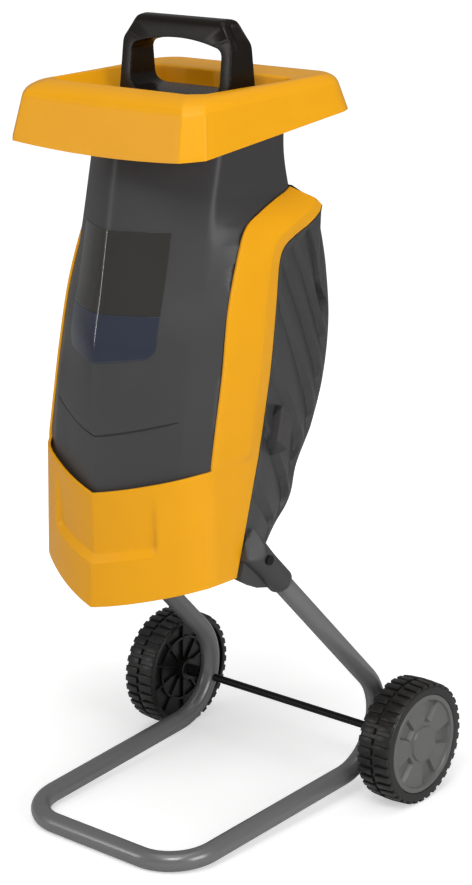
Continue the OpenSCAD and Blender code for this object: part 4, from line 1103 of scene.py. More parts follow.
@dataclass
class RearShell:
    """Dark rear shell with slanted, overlapping slats and a screw boss on each side."""

    form: HousingForm
    cover: FrontCover
    low: float = 352.0
    low_lift: float = 24.0
    top: float = 752.0
    half: float = 118.0
    crown: float = 1.0
    swell: float = 2.0
    neck_gap: float = 1.5
    # Crest of the lowest slat, spacing of the crests, and part of a slat that falls back above its crest
    slat_first: float = 0.07
    slat_pitch: float = 0.125
    slat_n: int = 6
    slat_back: float = 0.8
    # Where the slats turn round the rear corner, and how fast they fall there
    slat_turn: tuple[float, float] = (0.72, 0.5)
    slat_ends: tuple[float, float] = (0.46, 0.97)
    slat_fade: float = 0.2
    slat_lip: float = 0.01
    slat_deep: tuple[float, float] = (11.0, 5.0)
    # Corners of a boss: four on its outer face, then those on the shell
    boss_corners: tuple = (
        (139.5, -36.5, 547), (139.5, -17, 530), (139.5, -25.5, 491), (139.5, -46, 507),
        (124, -22, 541), (126, -45, 519), (124, -49, 499), (124, -37, 483), (116, -15, 487), (116, -8, 530),
        (116, -22, 541), (116, -45, 519), (116, -49, 499), (116, -37, 483),
    )
    boss_flat_deg: float = 3.0
    boss_soft: float = 1.0
    boss_fold_deg: float = 15.0
    # Depth of the back at heights, and round of the rear corner upwards
    back_keys: tuple = (
        (352, -28), (388, 0), (417, 29), (455, 42), (500, 71),
        (560, 94), (630, 102), (690, 91), (745, 71), (770, 60),
    )
    corner_keys: tuple = ((0.0, 40.0), (0.7, 40.0), (1.0, 20.0))
    corner_n: int = 5
    # Lowest point of the front edge, with X from the body's half width, and step from the band to the edge
    edge_foot: tuple[float, float, float] = (-1.0, -95.5, 402.0)
    band_step: tuple[float, float, float] = (-0.5, 1.5, -1.0)
    edge_soft: float = 1.2
    # Columns over the back, the corner and the side: from, to and number; rows, and more of them at the slats
    columns: tuple = ((0.0, 0.36, 12), (0.38, 0.72, 34), (0.73, 1.0, 36))
    row_n: int = 180
    slat_rows: tuple[float, float, float] = (-0.004, 0.0, 0.004)
    ledge_n: int = 10
    ledge_rise: float = 1.0
    # Raised seat of the switch box: its height and depth, half width, half height and soft edge
    seat_z: float = 630.0
    seat_y: float = 104.0
    seat_half: tuple[float, float] = (46.0, 42.0)
    seat_soft: float = 12.0
    edges: list = field(default_factory=list)

    def __post_init__(self) -> None:
        """Take the front edge of the shell from the rear edge of the band."""
        self.edges = [np.array(self.edge_foot) + np.array((self.form.body_half, 0.0, 0.0))]
        self.edges += [np.asarray(rear, float) + np.array(self.band_step) for _, rear in self.cover.band_keys]

    def _half(self, q: float) -> list[np.ndarray]:
        """Right half of a row from the middle of the back to the band.

        Args:
            q: Place upwards, from 0 to 1.

        Returns:
            The middle of the back, the points round the corner, a point of the side and the front edge.
        """
        edge = along(self.edges, q * (len(self.edges) - 1))
        c, n = float(curve(self.corner_keys, q)), self.corner_n
        spots = []
        for i in range(n + 1):
            z = (self.low + self.low_lift * i / n) * (1 - q) + self.top * q
            y = float(curve(self.back_keys, z))
            a = math.pi / 2 * (n - i) / (n - 1)
            if i == 0:
                spots.append(np.array((0.0, y + self.crown, z)))
            else:
                spots.append(np.array((self.half - c + c * math.cos(a), y - c + c * math.sin(a), z)))
        middle = (spots[-1] + edge) / 2 + np.array((self.swell, 0.0, 0.0))
        return spots + [middle, edge]

    def _slat(self, w: float, s: float) -> float:
        """Depth of the slats in the plain shell.

        Args:
            w: Place upwards.
            s: Place from the middle of the back (0) to the band (1).

        Returns:
            How far the surface lies back.
        """
        turn, fall = self.slat_turn
        across = (w + fall * max(0.0, turn - s) - self.slat_first) / self.slat_pitch
        if not self.slat_back - 1.0 < across < self.slat_n - 1.0 + self.slat_back:
            return 0.0
        part, back = across - math.floor(across), self.slat_back
        tooth = 1.0 - part / back if part < back else (part - back) / (1 - back)
        rear, front = self.slat_ends
        fade = smoothstep(rear, rear + self.slat_fade, s) * smoothstep(1.0, front - self.slat_lip, s)
        return (1.0 - tooth) * fade * float(np.interp(s, self.slat_ends, self.slat_deep))

    def _grid(self) -> np.ndarray:
        """Right half of the shell, with the slats sunk along its normals.

        Returns:
            Points by row and column.
        """
        spots = np.concatenate([np.linspace(start, end, n) for start, end, n in self.columns])
        crests = [self.slat_first + self.slat_pitch * i for i in range(self.slat_n)]
        valleys = [w - self.slat_pitch * (1 - self.slat_back) for w in crests]
        near = [w + d for w in crests + valleys for d in self.slat_rows]
        places = sorted([*np.linspace(0.0, 1.0, self.row_n), *near])
        grid = np.zeros((len(places), len(spots), 3))
        for r, w in enumerate(places):
            half = self._half(w)
            grid[r] = [along(half, s * (len(half) - 1)) for s in spots]
        wide, tall = self.seat_half
        for p in grid.reshape(-1, 3):
            seat = smoothstep(wide + self.seat_soft, wide, abs(p[0]))
            seat *= smoothstep(tall + self.seat_soft, tall, abs(p[2] - self.seat_z))
            p[1] += max(0.0, self.seat_y - p[1]) * (seat if p[1] > 0 else 0.0)
        up, across = np.gradient(grid, axis=0), np.gradient(grid, axis=1)
        normal = np.cross(up, across)
        normal /= np.maximum(np.linalg.norm(normal, axis=2, keepdims=True), 1e-9)
        deep = np.array([[self._slat(w, s) for s in spots] for w in places])
        return grid - normal * deep[:, :, None]

    def _ledge(self, last: list[np.ndarray]) -> list[list[np.ndarray]]:
        """Rows that close the top of the shell behind the neck.

        Args:
            last: Top row of the shell.

        Returns:
            The rows, inwards from the top row.
        """
        tip = np.asarray(self.cover.band_keys[-1][0], float)
        middle = (len(last) - 1) / 2
        rows = []
        for v in np.linspace(0.0, 1.0, self.ledge_n)[1:]:
            row = []
            for i, p in enumerate(last):
                x = math.copysign(tip[0] * math.sqrt(abs(i - middle) / middle), p[0]) if p[0] else 0.0
                goal = np.array((x, self.form.tower_back + self.neck_gap, tip[2] + self.ledge_rise))
                row.append(p * (1 - v) + goal * v)
            rows.append(row)
        return rows

    def _boss(self, side: Side) -> bpy.types.Object:
        """Box on one side that takes a housing screw.

        Args:
            side: Side of the machine.

        Returns:
            The object.
        """
        bm = bmesh.new()
        for x, y, z in self.boss_corners:
            bm.verts.new((side.value * x, y, z))
        bmesh.ops.convex_hull(bm, input=bm.verts)
        flat = math.radians(self.boss_flat_deg)
        bmesh.ops.dissolve_limit(bm, angle_limit=flat, verts=bm.verts, edges=bm.edges)
        points, faces = points_and_faces(bm)
        obj = closed_object(f"{side.name.lower()}_screw_boss", points + HOUSING_SHIFT, faces)
        add_bevel(obj, self.boss_soft, self.boss_fold_deg)
        return bake(obj)

    def build(self) -> list[Piece]:
        """Make the shell and its bosses.

        Returns:
            The pieces.
        """
        rows = [mirrored_row(list(row))[::-1] for row in self._grid()]
        rows += self._ledge(rows[-1])
        obj = Surface(rows, even=False).object("rear_shell_moulding", self.form.wall, self.edge_soft)
        pieces = [Piece(obj, Look.DARK_PP, Body.HOUSING, "dark_plastic", ("rear_shell",))]
        # The screws are one node and sit under the faces of both bosses, out of sight.
        hidden = {Side.LEFT: (), Side.RIGHT: ("housing_screws",)}
        for side in Side:
            pieces.append(Piece(self._boss(side), Look.DARK_PP, Body.HOUSING, "dark_plastic", hidden[side]))
        return pieces


@dataclass
class Hopper:
    """Yellow feed hopper with a chamfered skirt, a soft rim and a bowl."""

    wall: float = 3.5
    edge_soft: float = 1.0
    # Round of the chamfer's corners, and the greatest part of the chamfer that it takes
    corner_soft: float = 2.0
    corner_part: float = 0.45
    corner_n: int = 6
    # Points along the front, the side, the rear corner and the rear of a ring
    front_parts: tuple = (0.0, 0.25, 0.5, 0.75, 0.9)
    side_parts: tuple = (0.1, 0.3, 0.5, 0.7, 0.9)
    rear_n: int = 13
    rear_parts: tuple = (0.9, 0.6, 0.3, 0.0)
    # Rings along a flat face of the wall, and round a fold
    flat_parts: tuple[float, float, float] = (0.1, 0.5, 0.9)
    fold_n: int = 7
    # Rings from the lower edge over the rim and down the bowl: half width, front, rear, front chamfer,
    # rear radius, height at the front, climb to the rear, dip of the front, and share that is rounded
    rings: tuple = (
        (150, -205, 88, 21, 32, 852, 0.115, 5, 0),
        (141, -193, 80, 18, 30, 903, 0.045, 2, 0.12),
        (137, -188, 77, 17, 28, 911, 0.040, 0, 0.45),
        (128, -175, 67, 16, 26, 918, 0.038, 0, 0.45),
        (118, -162, 17, 15, 24, 921, 0.008, 0, 0.10),
        (104.5, -123, 15.5, 12, 14, 893, 0, 0, 0.3),
        (95.5, -101, 14, 7, 7, 879.8, 0, 0, 0.2),
        (88, -76, -16, 3, 3, 879.8, 0, 0, 0.08),
        (88, -76, -16, 3, 3, 867.8, 0, 0, 0),
    )

    def _stations(self) -> list[np.ndarray]:
        """Rings along the wall, with the folds between the flat faces rounded.

        Returns:
            The ring sizes, from the lower edge to the feed opening.
        """
        keys = [np.array(ring[:-1], float) for ring in self.rings]
        soft = [ring[-1] for ring in self.rings]
        stations = [keys[0]]
        for i in range(1, len(keys) - 1):
            start = keys[i] + (keys[i - 1] - keys[i]) * soft[i]
            end = keys[i] + (keys[i + 1] - keys[i]) * soft[i]
            before = stations[-1]
            stations += [before + (start - before) * f for f in self.flat_parts]
            stations += [
                start * (1 - t) ** 2 + keys[i] * 2 * t * (1 - t) + end * t * t
                for t in np.linspace(0.0, 1.0, self.fold_n)
            ]
        before = stations[-1]
        return stations + [before + (keys[-1] - before) * f for f in (*self.flat_parts, 1.0)]

    def _ring(self, sizes: np.ndarray) -> list[np.ndarray]:
        """One closed ring of the wall.

        Args:
            sizes: Half width, front, rear, chamfer, rear radius, height, climb and dip.

        Returns:
            The ring's points.
        """
        half, front, back, chamfer, radius, z, climb, dip = sizes
        first = np.array((half - chamfer, front))
        second = np.array((half, front + chamfer))
        middle = (first + second) / 2
        soft = min(self.corner_soft, self.corner_part * chamfer)
        plan = [np.array((f * (half - chamfer), front)) for f in self.front_parts]
        plan += fillet(plan[0], first, middle, soft, self.corner_n) + [middle]
        plan += fillet(middle, second, np.array((half, back)), soft, self.corner_n)
        straight = back - radius - front - chamfer
        plan += [np.array((half, front + chamfer + straight * f)) for f in self.side_parts]
        plan += [
            np.array((half - radius + radius * math.cos(a), back - radius + radius * math.sin(a)))
            for a in np.linspace(0.0, math.pi / 2, self.rear_n)
        ]
        plan += [np.array((f * (half - radius), back)) for f in self.rear_parts]
        ring = []
        for p in plan:
            in_front = p[1] < (front + back) / 2
            sag = dip * max(0.0, 1 - (p[0] / (half - chamfer)) ** 2) if in_front else 0.0
            ring.append(np.array((p[0], p[1], z + climb * (p[1] - front) - sag)))
        return ring_row(ring)

    def build(self) -> Piece:
        """Make the hopper.

        Returns:
            The piece.
        """
        rows = [self._ring(sizes) for sizes in self._stations()]
        obj = Surface(rows, True).object("hopper_moulding", self.wall, self.edge_soft)
        return Piece(obj, Look.YELLOW_ABS, Body.HOUSING, "yellow_plastic", ("hopper",))


@dataclass
class Plunger:
    """Black plunger: closed loop handle, collar and paddle in one moulding."""

    grip_top: float = 991.1
    half: float = 85.0
    window_half: float = 69.0
    window_low: float = 904.1
    window_tilt: float = 5.0
    collar_z: float = 880.1
    collar_t: float = 6.0
    collar_half: float = 92.0
    collar_depth: float = 72.0
    feed_half: float = 88.0
    feed_depth: float = 60.0
    feed_y: float = -46.0
    paddle_low: float = 745.0
    paddle_gap: float = 4.0
    paddle_lap: float = 1.0
    collar_soft: float = 2.0
    paddle_soft: float = 3.0
    block_n: int = 3
    shoulder_drop: float = 29.0
    grip_t: float = 34.0
    arch: float = 9.0
    edge_round: float = 1.2
    edge_deg: float = 50.0
    edge_n: int = 5
    # Depth and direction of the scoops in the sloping ends, and where they grow inwards and upwards
    scoop: float = 6.0
    scoop_way: tuple[float, float] = (0.94, 0.34)
    scoop_in: tuple[float, float] = (21.0, 11.0)
    scoop_up: tuple[float, float] = (-14.0, 6.0)
    top_in: float = 18.0
    # How far the handle leans out at its foot and in at its shoulder
    lean: float = 1.0
    # Rounds of the outline at the foot, the shoulder and the top, and of the window at sill, lintel and arch
    outer_rounds: tuple[float, float, float] = (2.0, 6.0, 5.0)
    inner_rounds: tuple[float, float, float] = (18.0, 9.0, 62.0)
    # Height above the sill in which its tilt runs out, and below the shoulder at which the crown starts
    tilt_high: float = 22.0
    crown_low: float = 4.0
    # Round of the grip: share of the half depth, and drop of its top there
    crown: tuple = ((1.0, 9.0), (0.93, 5.0), (0.75, 2.0), (0.5, 0.8))
    # Points of an outline, points of the round of a corner, and steps from each point of the path to the next
    loop_n: int = 240
    corner_n: int = 14
    straight_n: int = 24
    # Half depth at the foot, the shoulder and the top
    depths: tuple[float, float, float] = (26.0, 18.0, 15.0)

    @property
    def shoulder(self) -> float:
        """Height at which the ends start to slope."""
        return self.grip_top - self.shoulder_drop

    def _loop(self, corners: Sequence[tuple[float, float, float]]) -> list[np.ndarray]:
        """Closed outline with rounded corners in the front view, at even angles about its middle.

        Args:
            corners: X, Z and round of each corner, in order.

        Returns:
            The outline's points.
        """
        path: list[np.ndarray] = []
        n = len(corners)
        for i, (x, z, reach) in enumerate(corners):
            a, c = np.array(corners[i - 1][:2], float), np.array(corners[(i + 1) % n][:2], float)
            path += fillet(a, np.array((x, z), float), c, reach, self.corner_n)
        centre = np.array((0.0, (self.window_low + self.grip_top - self.grip_t) / 2))
        steps = np.linspace(0.0, 1.0, self.straight_n, endpoint=False)
        pairs = zip(path, path[1:] + path[:1])
        arms = np.array([a * (1 - t) + b * t for a, b in pairs for t in steps]) - centre
        angles, reach = np.arctan2(arms[:, 1], arms[:, 0]), np.linalg.norm(arms, axis=1)
        even = np.linspace(-math.pi, math.pi, self.loop_n, endpoint=False)
        far = np.interp(even, angles, reach, period=2 * math.pi)
        return [centre + r * np.array((math.cos(a), math.sin(a))) for a, r in zip(even, far)]

    def _depth(self, z: float) -> float:
        """Half depth of the handle at a height."""
        return float(np.interp(z, (self.collar_z, self.shoulder, self.grip_top), self.depths))

    def _hollow(self, p: np.ndarray) -> np.ndarray:
        """Move a point of the sloping ends inwards, for the scoop between their edges.

        Args:
            p: Point of the outline.

        Returns:
            The moved point.
        """
        deep = smoothstep(*(self.half - d for d in self.scoop_in), abs(p[0]))
        deep *= smoothstep(*(self.shoulder + d for d in self.scoop_up), p[1])
        out, up = self.scoop_way
        return p - self.scoop * deep * np.array((math.copysign(out, p[0]), up))

    def _crowned(self, loop: list[np.ndarray], drop: float) -> list[np.ndarray]:
        """Outline whose top is lowered for the round of the grip.

        Args:
            loop: Outline of the handle.
            drop: How far the top is lowered.

        Returns:
            The lowered outline.
        """
        low, top = self.shoulder - self.crown_low, self.grip_top
        return [p - np.array((0.0, drop * smoothstep(low, top, p[1]))) for p in loop]

    def build(self) -> Piece:
        """Make the plunger.

        Returns:
            The piece.
        """
        w, sill, lintel = self.window_half, self.window_low, self.grip_top - self.grip_t
        xs = (self.half + self.lean, self.half - self.lean, self.half - self.top_in)
        right = list(zip(xs, (self.collar_z, self.shoulder, self.grip_top), self.outer_rounds))
        outer = self._loop(right + [(-x, z, reach) for x, z, reach in reversed(right)])
        at_sill, at_lintel, at_arch = self.inner_rounds
        inner = self._loop([
            (w, sill, at_sill), (w, lintel, at_lintel), (0, lintel + 2 * self.arch, at_arch),
            (-w, lintel, at_lintel), (-w, sill, at_sill),
        ])
        high = sill + self.tilt_high
        tilted = [p + np.array((0.0, self.window_tilt * smoothstep(high, sill, p[1]))) for p in inner]
        scooped = [self._hollow(p) for p in outer]
        rounds = [(self._crowned(outer, drop), share) for share, drop in self.crown]
        front = [(loop, -share) for loop, share in reversed(rounds)]
        sections = [front[-1], (inner, -1), (tilted, 1), *rounds, (scooped, 0), *front[:-1]]
        verts = [
            (p[0], self.feed_y + side * self._depth(p[1]), p[1]) for loop, side in sections for p in loop
        ]
        faces = ring_faces(len(sections), self.loop_n, True)
        obj = closed_object("plunger_moulding", np.array(verts) + HOUSING_SHIFT, faces)
        add_bevel(obj, self.edge_round, self.edge_deg, self.edge_n)
        bake(obj)
        self._add_paddle(obj)
        return Piece(obj, Look.BLACK_PP, Body.PLUNGER, "black_plastic", ("plunger",))

    def _add_paddle(self, obj: bpy.types.Object) -> None:
        """Join the collar and the paddle to the handle.

        Args:
            obj: The handle.
        """
        mesh = bmesh.new()
        mesh.from_mesh(obj.data)
        paddle_half = self.feed_half - self.paddle_gap
        paddle_deep = self.feed_depth - 2 * self.paddle_gap
        collar_top, paddle_top = self.collar_z + self.collar_t, self.collar_z + self.paddle_lap
        blocks = (
            (self.collar_half, self.collar_depth, self.collar_z, collar_top, self.collar_soft),
            (paddle_half, paddle_deep, self.paddle_low, paddle_top, self.paddle_soft),
        )
        for half, depth, low, high, soft in blocks:
            made = bmesh.ops.create_cube(mesh, size=1.0)["verts"]
            size = Vector((2 * half, depth, high - low)) * MM
            at = Vector((0.0, self.feed_y, (low + high) / 2)) + Vector(HOUSING_SHIFT)
            for v in made:
                v.co = Vector((v.co.x * size.x, v.co.y * size.y, v.co.z * size.z)) + at * MM
            edges = list({e for v in made for e in v.link_edges})
            bmesh.ops.bevel(
                mesh, geom=edges, offset=soft * MM, segments=self.block_n, affect="EDGES", profile=0.5,
            )
        for face in mesh.faces:
            face.smooth = True
        mesh.to_mesh(obj.data)
        mesh.free()
        obj.data.set_sharp_from_angle(angle=math.radians(SHARP_DEG))


@dataclass
class LegSocket:
    """Dark socket that takes the upper end of one leg, with its web below."""

    side: Side
    foot: tuple[float, float, float] = (136.27, -34.89, 327.21)
    axis: tuple[float, float, float] = (-0.017, -0.7007, 0.7133)
    radius: float = 16.45
    deepest: float = 119.0
    length: float = 91.0
    nose: float = 27.0
    nose_power: float = 1.3
    # How far the socket grows taller towards the nose, and the part of its length at which that starts
    swell: float = 3.0
    swell_from: float = 0.4
    # Round of the lower lip: its depth, its length and the stops along it
    lip_in: float = 1.2
    lip_long: float = 2.5
    lip_stops: tuple = (0.0, 0.8, 1.6, 2.5)
    body_from: float = 8.0
    body_n: int = 30
    round_n: int = 40
    edge_soft: float = 1.0
    edge_deg: float = 50.0
    # Plane behind the cover's rear edge, where the nose ends: a point and its slope in depth over height
    edge: tuple[float, float, float] = (-99.1, 389.3, 0.278)
    nose_x: float = 134.5
    # Corners of the web in depth and height, and its two faces
    web: tuple = ((-50, 324), (-79, 331), (-108, 348), (-92, 402), (-30, 340))
    web_x: tuple[float, float] = (119.5, 135.5)

    def _section(self, t: float) -> np.ndarray:
        """Outline across the socket.

        Args:
            t: Distance from the lower end.

        Returns:
            The points.
        """
        run = np.array(self.axis)
        up = np.cross(run, (1.0, 0.0, 0.0))
        middle = np.array(self.foot) + run * t
        in_nose = max(0.0, (t - self.length + self.nose) / self.nose)
        bulge = 1 - min(1.0, in_nose) ** self.nose_power
        outer = self.nose_x + (middle[0] + self.radius - self.nose_x) * bulge
        lip = self.radius - self.lip_in * (1 - smoothstep(0.0, self.lip_long, t))
        tall = lip + self.swell * smoothstep(self.swell_from * self.length, self.length, t)
        ring = []
        for a in np.linspace(0.0, 2 * math.pi, self.round_n, endpoint=False):
            p = middle + tall * math.sin(a) * up + np.array((lip * math.cos(a), 0.0, 0.0))
            p[0] = min(max(p[0], self.deepest), outer)
            limit = self.edge[0] + self.edge[2] * (p[2] - self.edge[1])
            p[1] = max(p[1], limit)
            ring.append(p)
        return np.array(ring)

    def build(self) -> Piece:
        """Make the socket.

        Returns:
            The piece.
        """
        label, s = self.side.name.lower(), self.side.value
        stops = [*self.lip_stops, *np.linspace(self.body_from, self.length, self.body_n)]
        socket = np.concatenate([self._section(t) for t in stops])
        plate = np.array([(x, *p) for x in self.web_x for p in self.web]) + HOUSING_SHIFT
        verts, faces = [], []
        for points, n in ((socket, self.round_n), (plate, len(self.web))):
            count, first = len(points), len(verts)
            ends = [tuple(range(n)), tuple(range(count - n, count))]
            faces += [tuple(first + i for i in face) for face in ring_faces(count // n, n) + ends]
            verts += list(points * np.array((s, 1.0, 1.0)))
        obj = closed_object(f"{label}_leg_socket_moulding", np.array(verts), faces)
        add_bevel(obj, self.edge_soft, self.edge_deg, 2)
        bake(obj)
        return Piece(obj, Look.DARK_PP, Body.HOUSING, "dark_plastic", (f"{label}_leg_socket",))


@dataclass
class LegTube:
    """Leg tube as the CAD has it, cut short inside its socket, which tapers there."""

    socket: LegSocket
    node: bpy.types.Object
    inside: float = 40.0

    def build(self) -> Piece:
        """Make the tube.

        Returns:
            The piece.
        """
        label, mirror = self.socket.side.name.lower(), np.array((self.socket.side.value, 1.0, 1.0))
        run = np.array(self.socket.axis) * mirror
        end = np.array(self.socket.foot) * mirror + run * self.inside
        bm = bmesh.new()
        bm.from_mesh(self.node.data)
        bm.transform(self.node.matrix_world)
        everything = [*bm.verts, *bm.edges, *bm.faces]
        bmesh.ops.bisect_plane(bm, geom=everything, plane_co=end * MM, plane_no=run, clear_outer=True)
        points, faces = points_and_faces(bm)
        obj = bake(new_object(f"{label}_leg_steel", points / MM, faces))
        return Piece(obj, Look.TUBE_PAINT, Body.HOUSING, "tube_paint", (f"{label}_leg_tube",))


# Wheels


class AxleRing:
    """Geometry node group that repeats a form round an axle along X."""

    def __init__(self) -> None:
        """Build the node group."""
        tree = bpy.data.node_groups.new("ring_round_axle", "GeometryNodeTree")
        sockets = (
            ("Form", "INPUT", "NodeSocketGeometry"), ("Count", "INPUT", "NodeSocketInt"),
            ("Axle", "INPUT", "NodeSocketVector"), ("Material", "INPUT", "NodeSocketMaterial"),
            ("Ring", "OUTPUT", "NodeSocketGeometry"),
        )
        for name, direction, kind in sockets:
            tree.interface.new_socket(name=name, in_out=direction, socket_type=kind)
        given = add_node(tree, "NodeGroupInput").outputs
        index = add_node(tree, "GeometryNodeInputIndex")
        pitch = add_node(tree, "ShaderNodeMath", {"operation": "DIVIDE", 0: 2 * math.pi}, {1: given["Count"]})
        turn = add_node(
            tree, "ShaderNodeMath", {"operation": "MULTIPLY"},
            {0: index.outputs["Index"], 1: pitch.outputs[0]},
        )
        about = add_node(tree, "ShaderNodeCombineXYZ", wires={"X": turn.outputs[0]})
        points = add_node(tree, "GeometryNodePoints", wires={"Count": given["Count"]})
        copies = add_node(tree, "GeometryNodeInstanceOnPoints", wires={
            "Points": points.outputs[0], "Instance": given["Form"], "Rotation": about.outputs["Vector"],
        })
        real = add_node(tree, "GeometryNodeRealizeInstances", wires={"Geometry": copies.outputs["Instances"]})
        moved = add_node(tree, "GeometryNodeTransform", wires={
            "Geometry": real.outputs["Geometry"], "Translation": given["Axle"],
        })
        painted = add_node(tree, "GeometryNodeSetMaterial", wires={
            "Geometry": moved.outputs["Geometry"], "Material": given["Material"],
        })
        add_node(tree, "NodeGroupOutput", wires={0: painted.outputs["Geometry"]})
        self._tree = tree
        inputs = [item for item in tree.interface.items_tree if item.in_out == "INPUT"]
        self._ids = {item.name: item.identifier for item in inputs}

    def apply(
        self, obj: bpy.types.Object, count: int, axle_mm: Sequence[float], paint: bpy.types.Material,
    ) -> None:
        """Turn one form into a whole ring, still as a modifier.

        Args:
            obj: Object with the form, drawn about the X axis at the origin.
            count: Number of copies.
            axle_mm: Place of the wheel's middle.
            paint: Material of the ring.
        """
        ring = obj.modifiers.new("ring", "NODES")
        ring.node_group = self._tree
        ring[self._ids["Count"]] = count
        ring[self._ids["Axle"]] = [v * MM for v in axle_mm]
        ring[self._ids["Material"]] = paint


def block(corners: Sequence[Sequence[float]]) -> tuple[list, list]:
    """Points and faces of a block.

    Args:
        corners: Four points of one end in order round it, then the four of the other end.

    Returns:
        The points and the faces.
    """
    faces = [(0, 1, 2, 3), (4, 7, 6, 5), (0, 4, 5, 1), (1, 5, 6, 2), (2, 6, 7, 3), (3, 7, 4, 0)]
    return list(corners), faces


@dataclass
class Wheel:
    """Black wheel with two staggered rows of tread bars and a grey hub cap."""

    side: Side
    palette: Palette
    ring: AxleRing
    axle_y: float = 149.25
    radius: float = 80.0
    width: float = 48.0
    centre_x: float = 198.0
    tread_h: float = 3.6
    tread_n: int = 36
    tread_gap: float = 4.0
    # Parts of the pitch that a bar takes at its foot and head, its fall outwards, inset and round
    bar_foot: float = 0.68
    bar_head: float = 0.60
    bar_fall: float = 1.4
    bar_in: float = 1.0
    bar_soft: float = 0.7
    form_deg: float = 40.0
    shoulder_w: float = 5.0
    shoulder_h: float = 3.5
    shoulder_n: int = 7
    lathe_n: int = 120
    sharp_deg: float = 30.0
    # Chamfers of the tyre's edges and of the boss
    edge_cut: float = 0.8
    boss_cut: float = 1.0
    rim: float = 7.0
    side_wall: float = 12.0
    boss_r: float = 15.0
    bore_r: float = 5.06
    web: tuple[float, float] = (-9.0, -4.0)
    rib_n: int = 10
    rib_t: float = 3.0
    rib_h: float = 4.0
    rib_sink: float = 1.0
    rib_soft: float = 0.6
    rib_ring_r: float = 45.0
    gap: float = 0.3
    cap_t: float = 10.0
    cap_n: int = 360
    cap_sharp_deg: float = 32.0
    # Rings of the cap's boss, from, to and number, then where those of its face start and their number
    cap_middle: tuple = (0.5, 20.0, 6)
    cap_face: tuple = (21.0, 72)
    cap_back: float = 2.0
    cap_rim: float = 6.0
    cap_boss_r: float = 22.0
    field_deep: float = 2.6
    field_soft: float = 1.5
    pocket_n: int = 5
    pocket_part: float = 0.38
    pocket_deep: float = 8.0
    pocket_from: float = 29.0
    pocket_rim: float = 3.0
    pocket_soft: float = 1.4
    hub_turn: float = 16.0

    @property
    def middle(self) -> np.ndarray:
        """Middle of the wheel in the part's frame."""
        return np.array((self.side.value * self.centre_x, self.axle_y, self.radius))

    @property
    def tyre_r(self) -> float:
        """Radius of the tyre between its bars."""
        return self.radius - self.tread_h

    @property
    def cap_r(self) -> float:
        """Radius of the hub cap."""
        return self.tyre_r - self.side_wall - self.gap

    def _to_world(self, points: np.ndarray) -> np.ndarray:
        """Move points from the wheel's own frame, whose +Z points outwards.

        Args:
            points: Points in the wheel's frame.

        Returns:
            Points in the part's frame.
        """
        s, p = self.side.value, np.asarray(points, float)
        turned = np.column_stack((s * p[:, 2], p[:, 1], -s * p[:, 0]))
        return turned + self.middle

    def build(self) -> list[Piece]:
        """Make the tyre, its tread, the ribs of its web and the hub cap.

        Returns:
            The pieces.
        """
        label = self.side.name.lower()
        body = Body.LEFT_WHEEL if self.side is Side.LEFT else Body.RIGHT_WHEEL
        tyre, cap = self._carcass(f"{label}_wheel_moulding"), f"{label}_hub_cap"
        return [
            Piece(tyre, Look.WHEEL_PE, body, "wheel_black", (f"{label}_wheel",)),
            Piece(self._tread(f"{label}_wheel_tread"), Look.WHEEL_PE, body, "wheel_black"),
            Piece(self._ribs(f"{label}_wheel_ribs"), Look.WHEEL_PE, body, "wheel_black"),
            Piece(self._cap(f"{cap}_moulding"), Look.HUB_PP, body, "hub_grey", (cap,)),
        ]

    def _carcass(self, name: str) -> bpy.types.Object:
        """Tyre, web and boss of the wheel, as a profile turned about the axle.

        Args:
            name: Name of the object.

        Returns:
            The object.
        """
        half, out, inn = self.width / 2, self.tyre_r, self.tyre_r - self.rim
        seat, lip = self.cap_r + self.gap, half - self.cap_t - self.gap
        low, high = self.web
        arc = [
            (out - self.shoulder_h * (1 - math.cos(a)), half - self.shoulder_w * (1 - math.sin(a)))
            for a in np.linspace(0.0, math.pi / 2, self.shoulder_n)
        ]
        cut, boss, boss_cut = self.edge_cut, self.boss_r, self.boss_cut
        ring, ring_in, ring_low = self.rib_ring_r, self.rib_ring_r - self.rib_t, low - self.rib_h
        profile = [(r, -z) for r, z in arc[::-1]] + arc
        profile += [(seat + cut, half), (seat, half - cut), (seat, lip), (inn, lip - self.rim), (inn, high)]
        profile += [(boss, high), (boss, lip), (self.bore_r, lip), (self.bore_r, -half)]
        profile += [(boss - boss_cut, -half), (boss, boss_cut - half), (boss, low)]
        profile += [(ring_in, low), (ring_in, ring_low), (ring, ring_low), (ring, low)]
        profile += [(inn, low), (inn, cut - half), (inn + cut, -half)]
        turns = np.linspace(0.0, 2 * math.pi, self.lathe_n, endpoint=False)
        verts = [(r * math.cos(a), r * math.sin(a), z) for a in turns for r, z in profile]
        faces = ring_faces(self.lathe_n, len(profile), True)
        return bake(closed_object(name, self._to_world(np.array(verts)), faces), self.sharp_deg)

    def _repeat(
        self, name: str, blocks: Sequence[tuple[list, list]], count: int, soft: float,
    ) -> bpy.types.Object:
        """Ring of equal forms round the axle.

        Args:
            name: Name of the object.
            blocks: Points and faces of one form, in the wheel's frame.
            count: Number of copies.
            soft: Round of the edges.

        Returns:
            The object.
        """
        verts, faces = [], []
        for points, sides in blocks:
            faces += [[len(verts) + i for i in side] for side in sides]
            verts += points
        obj = closed_object(name, self._to_world(np.array(verts)) - self.middle, faces)
        add_bevel(obj, soft, self.form_deg, 2)
        bake(obj, self.sharp_deg)
        self.ring.apply(obj, count, self.middle, self.palette.material(Look.WHEEL_PE))
        return bake(obj, self.sharp_deg)

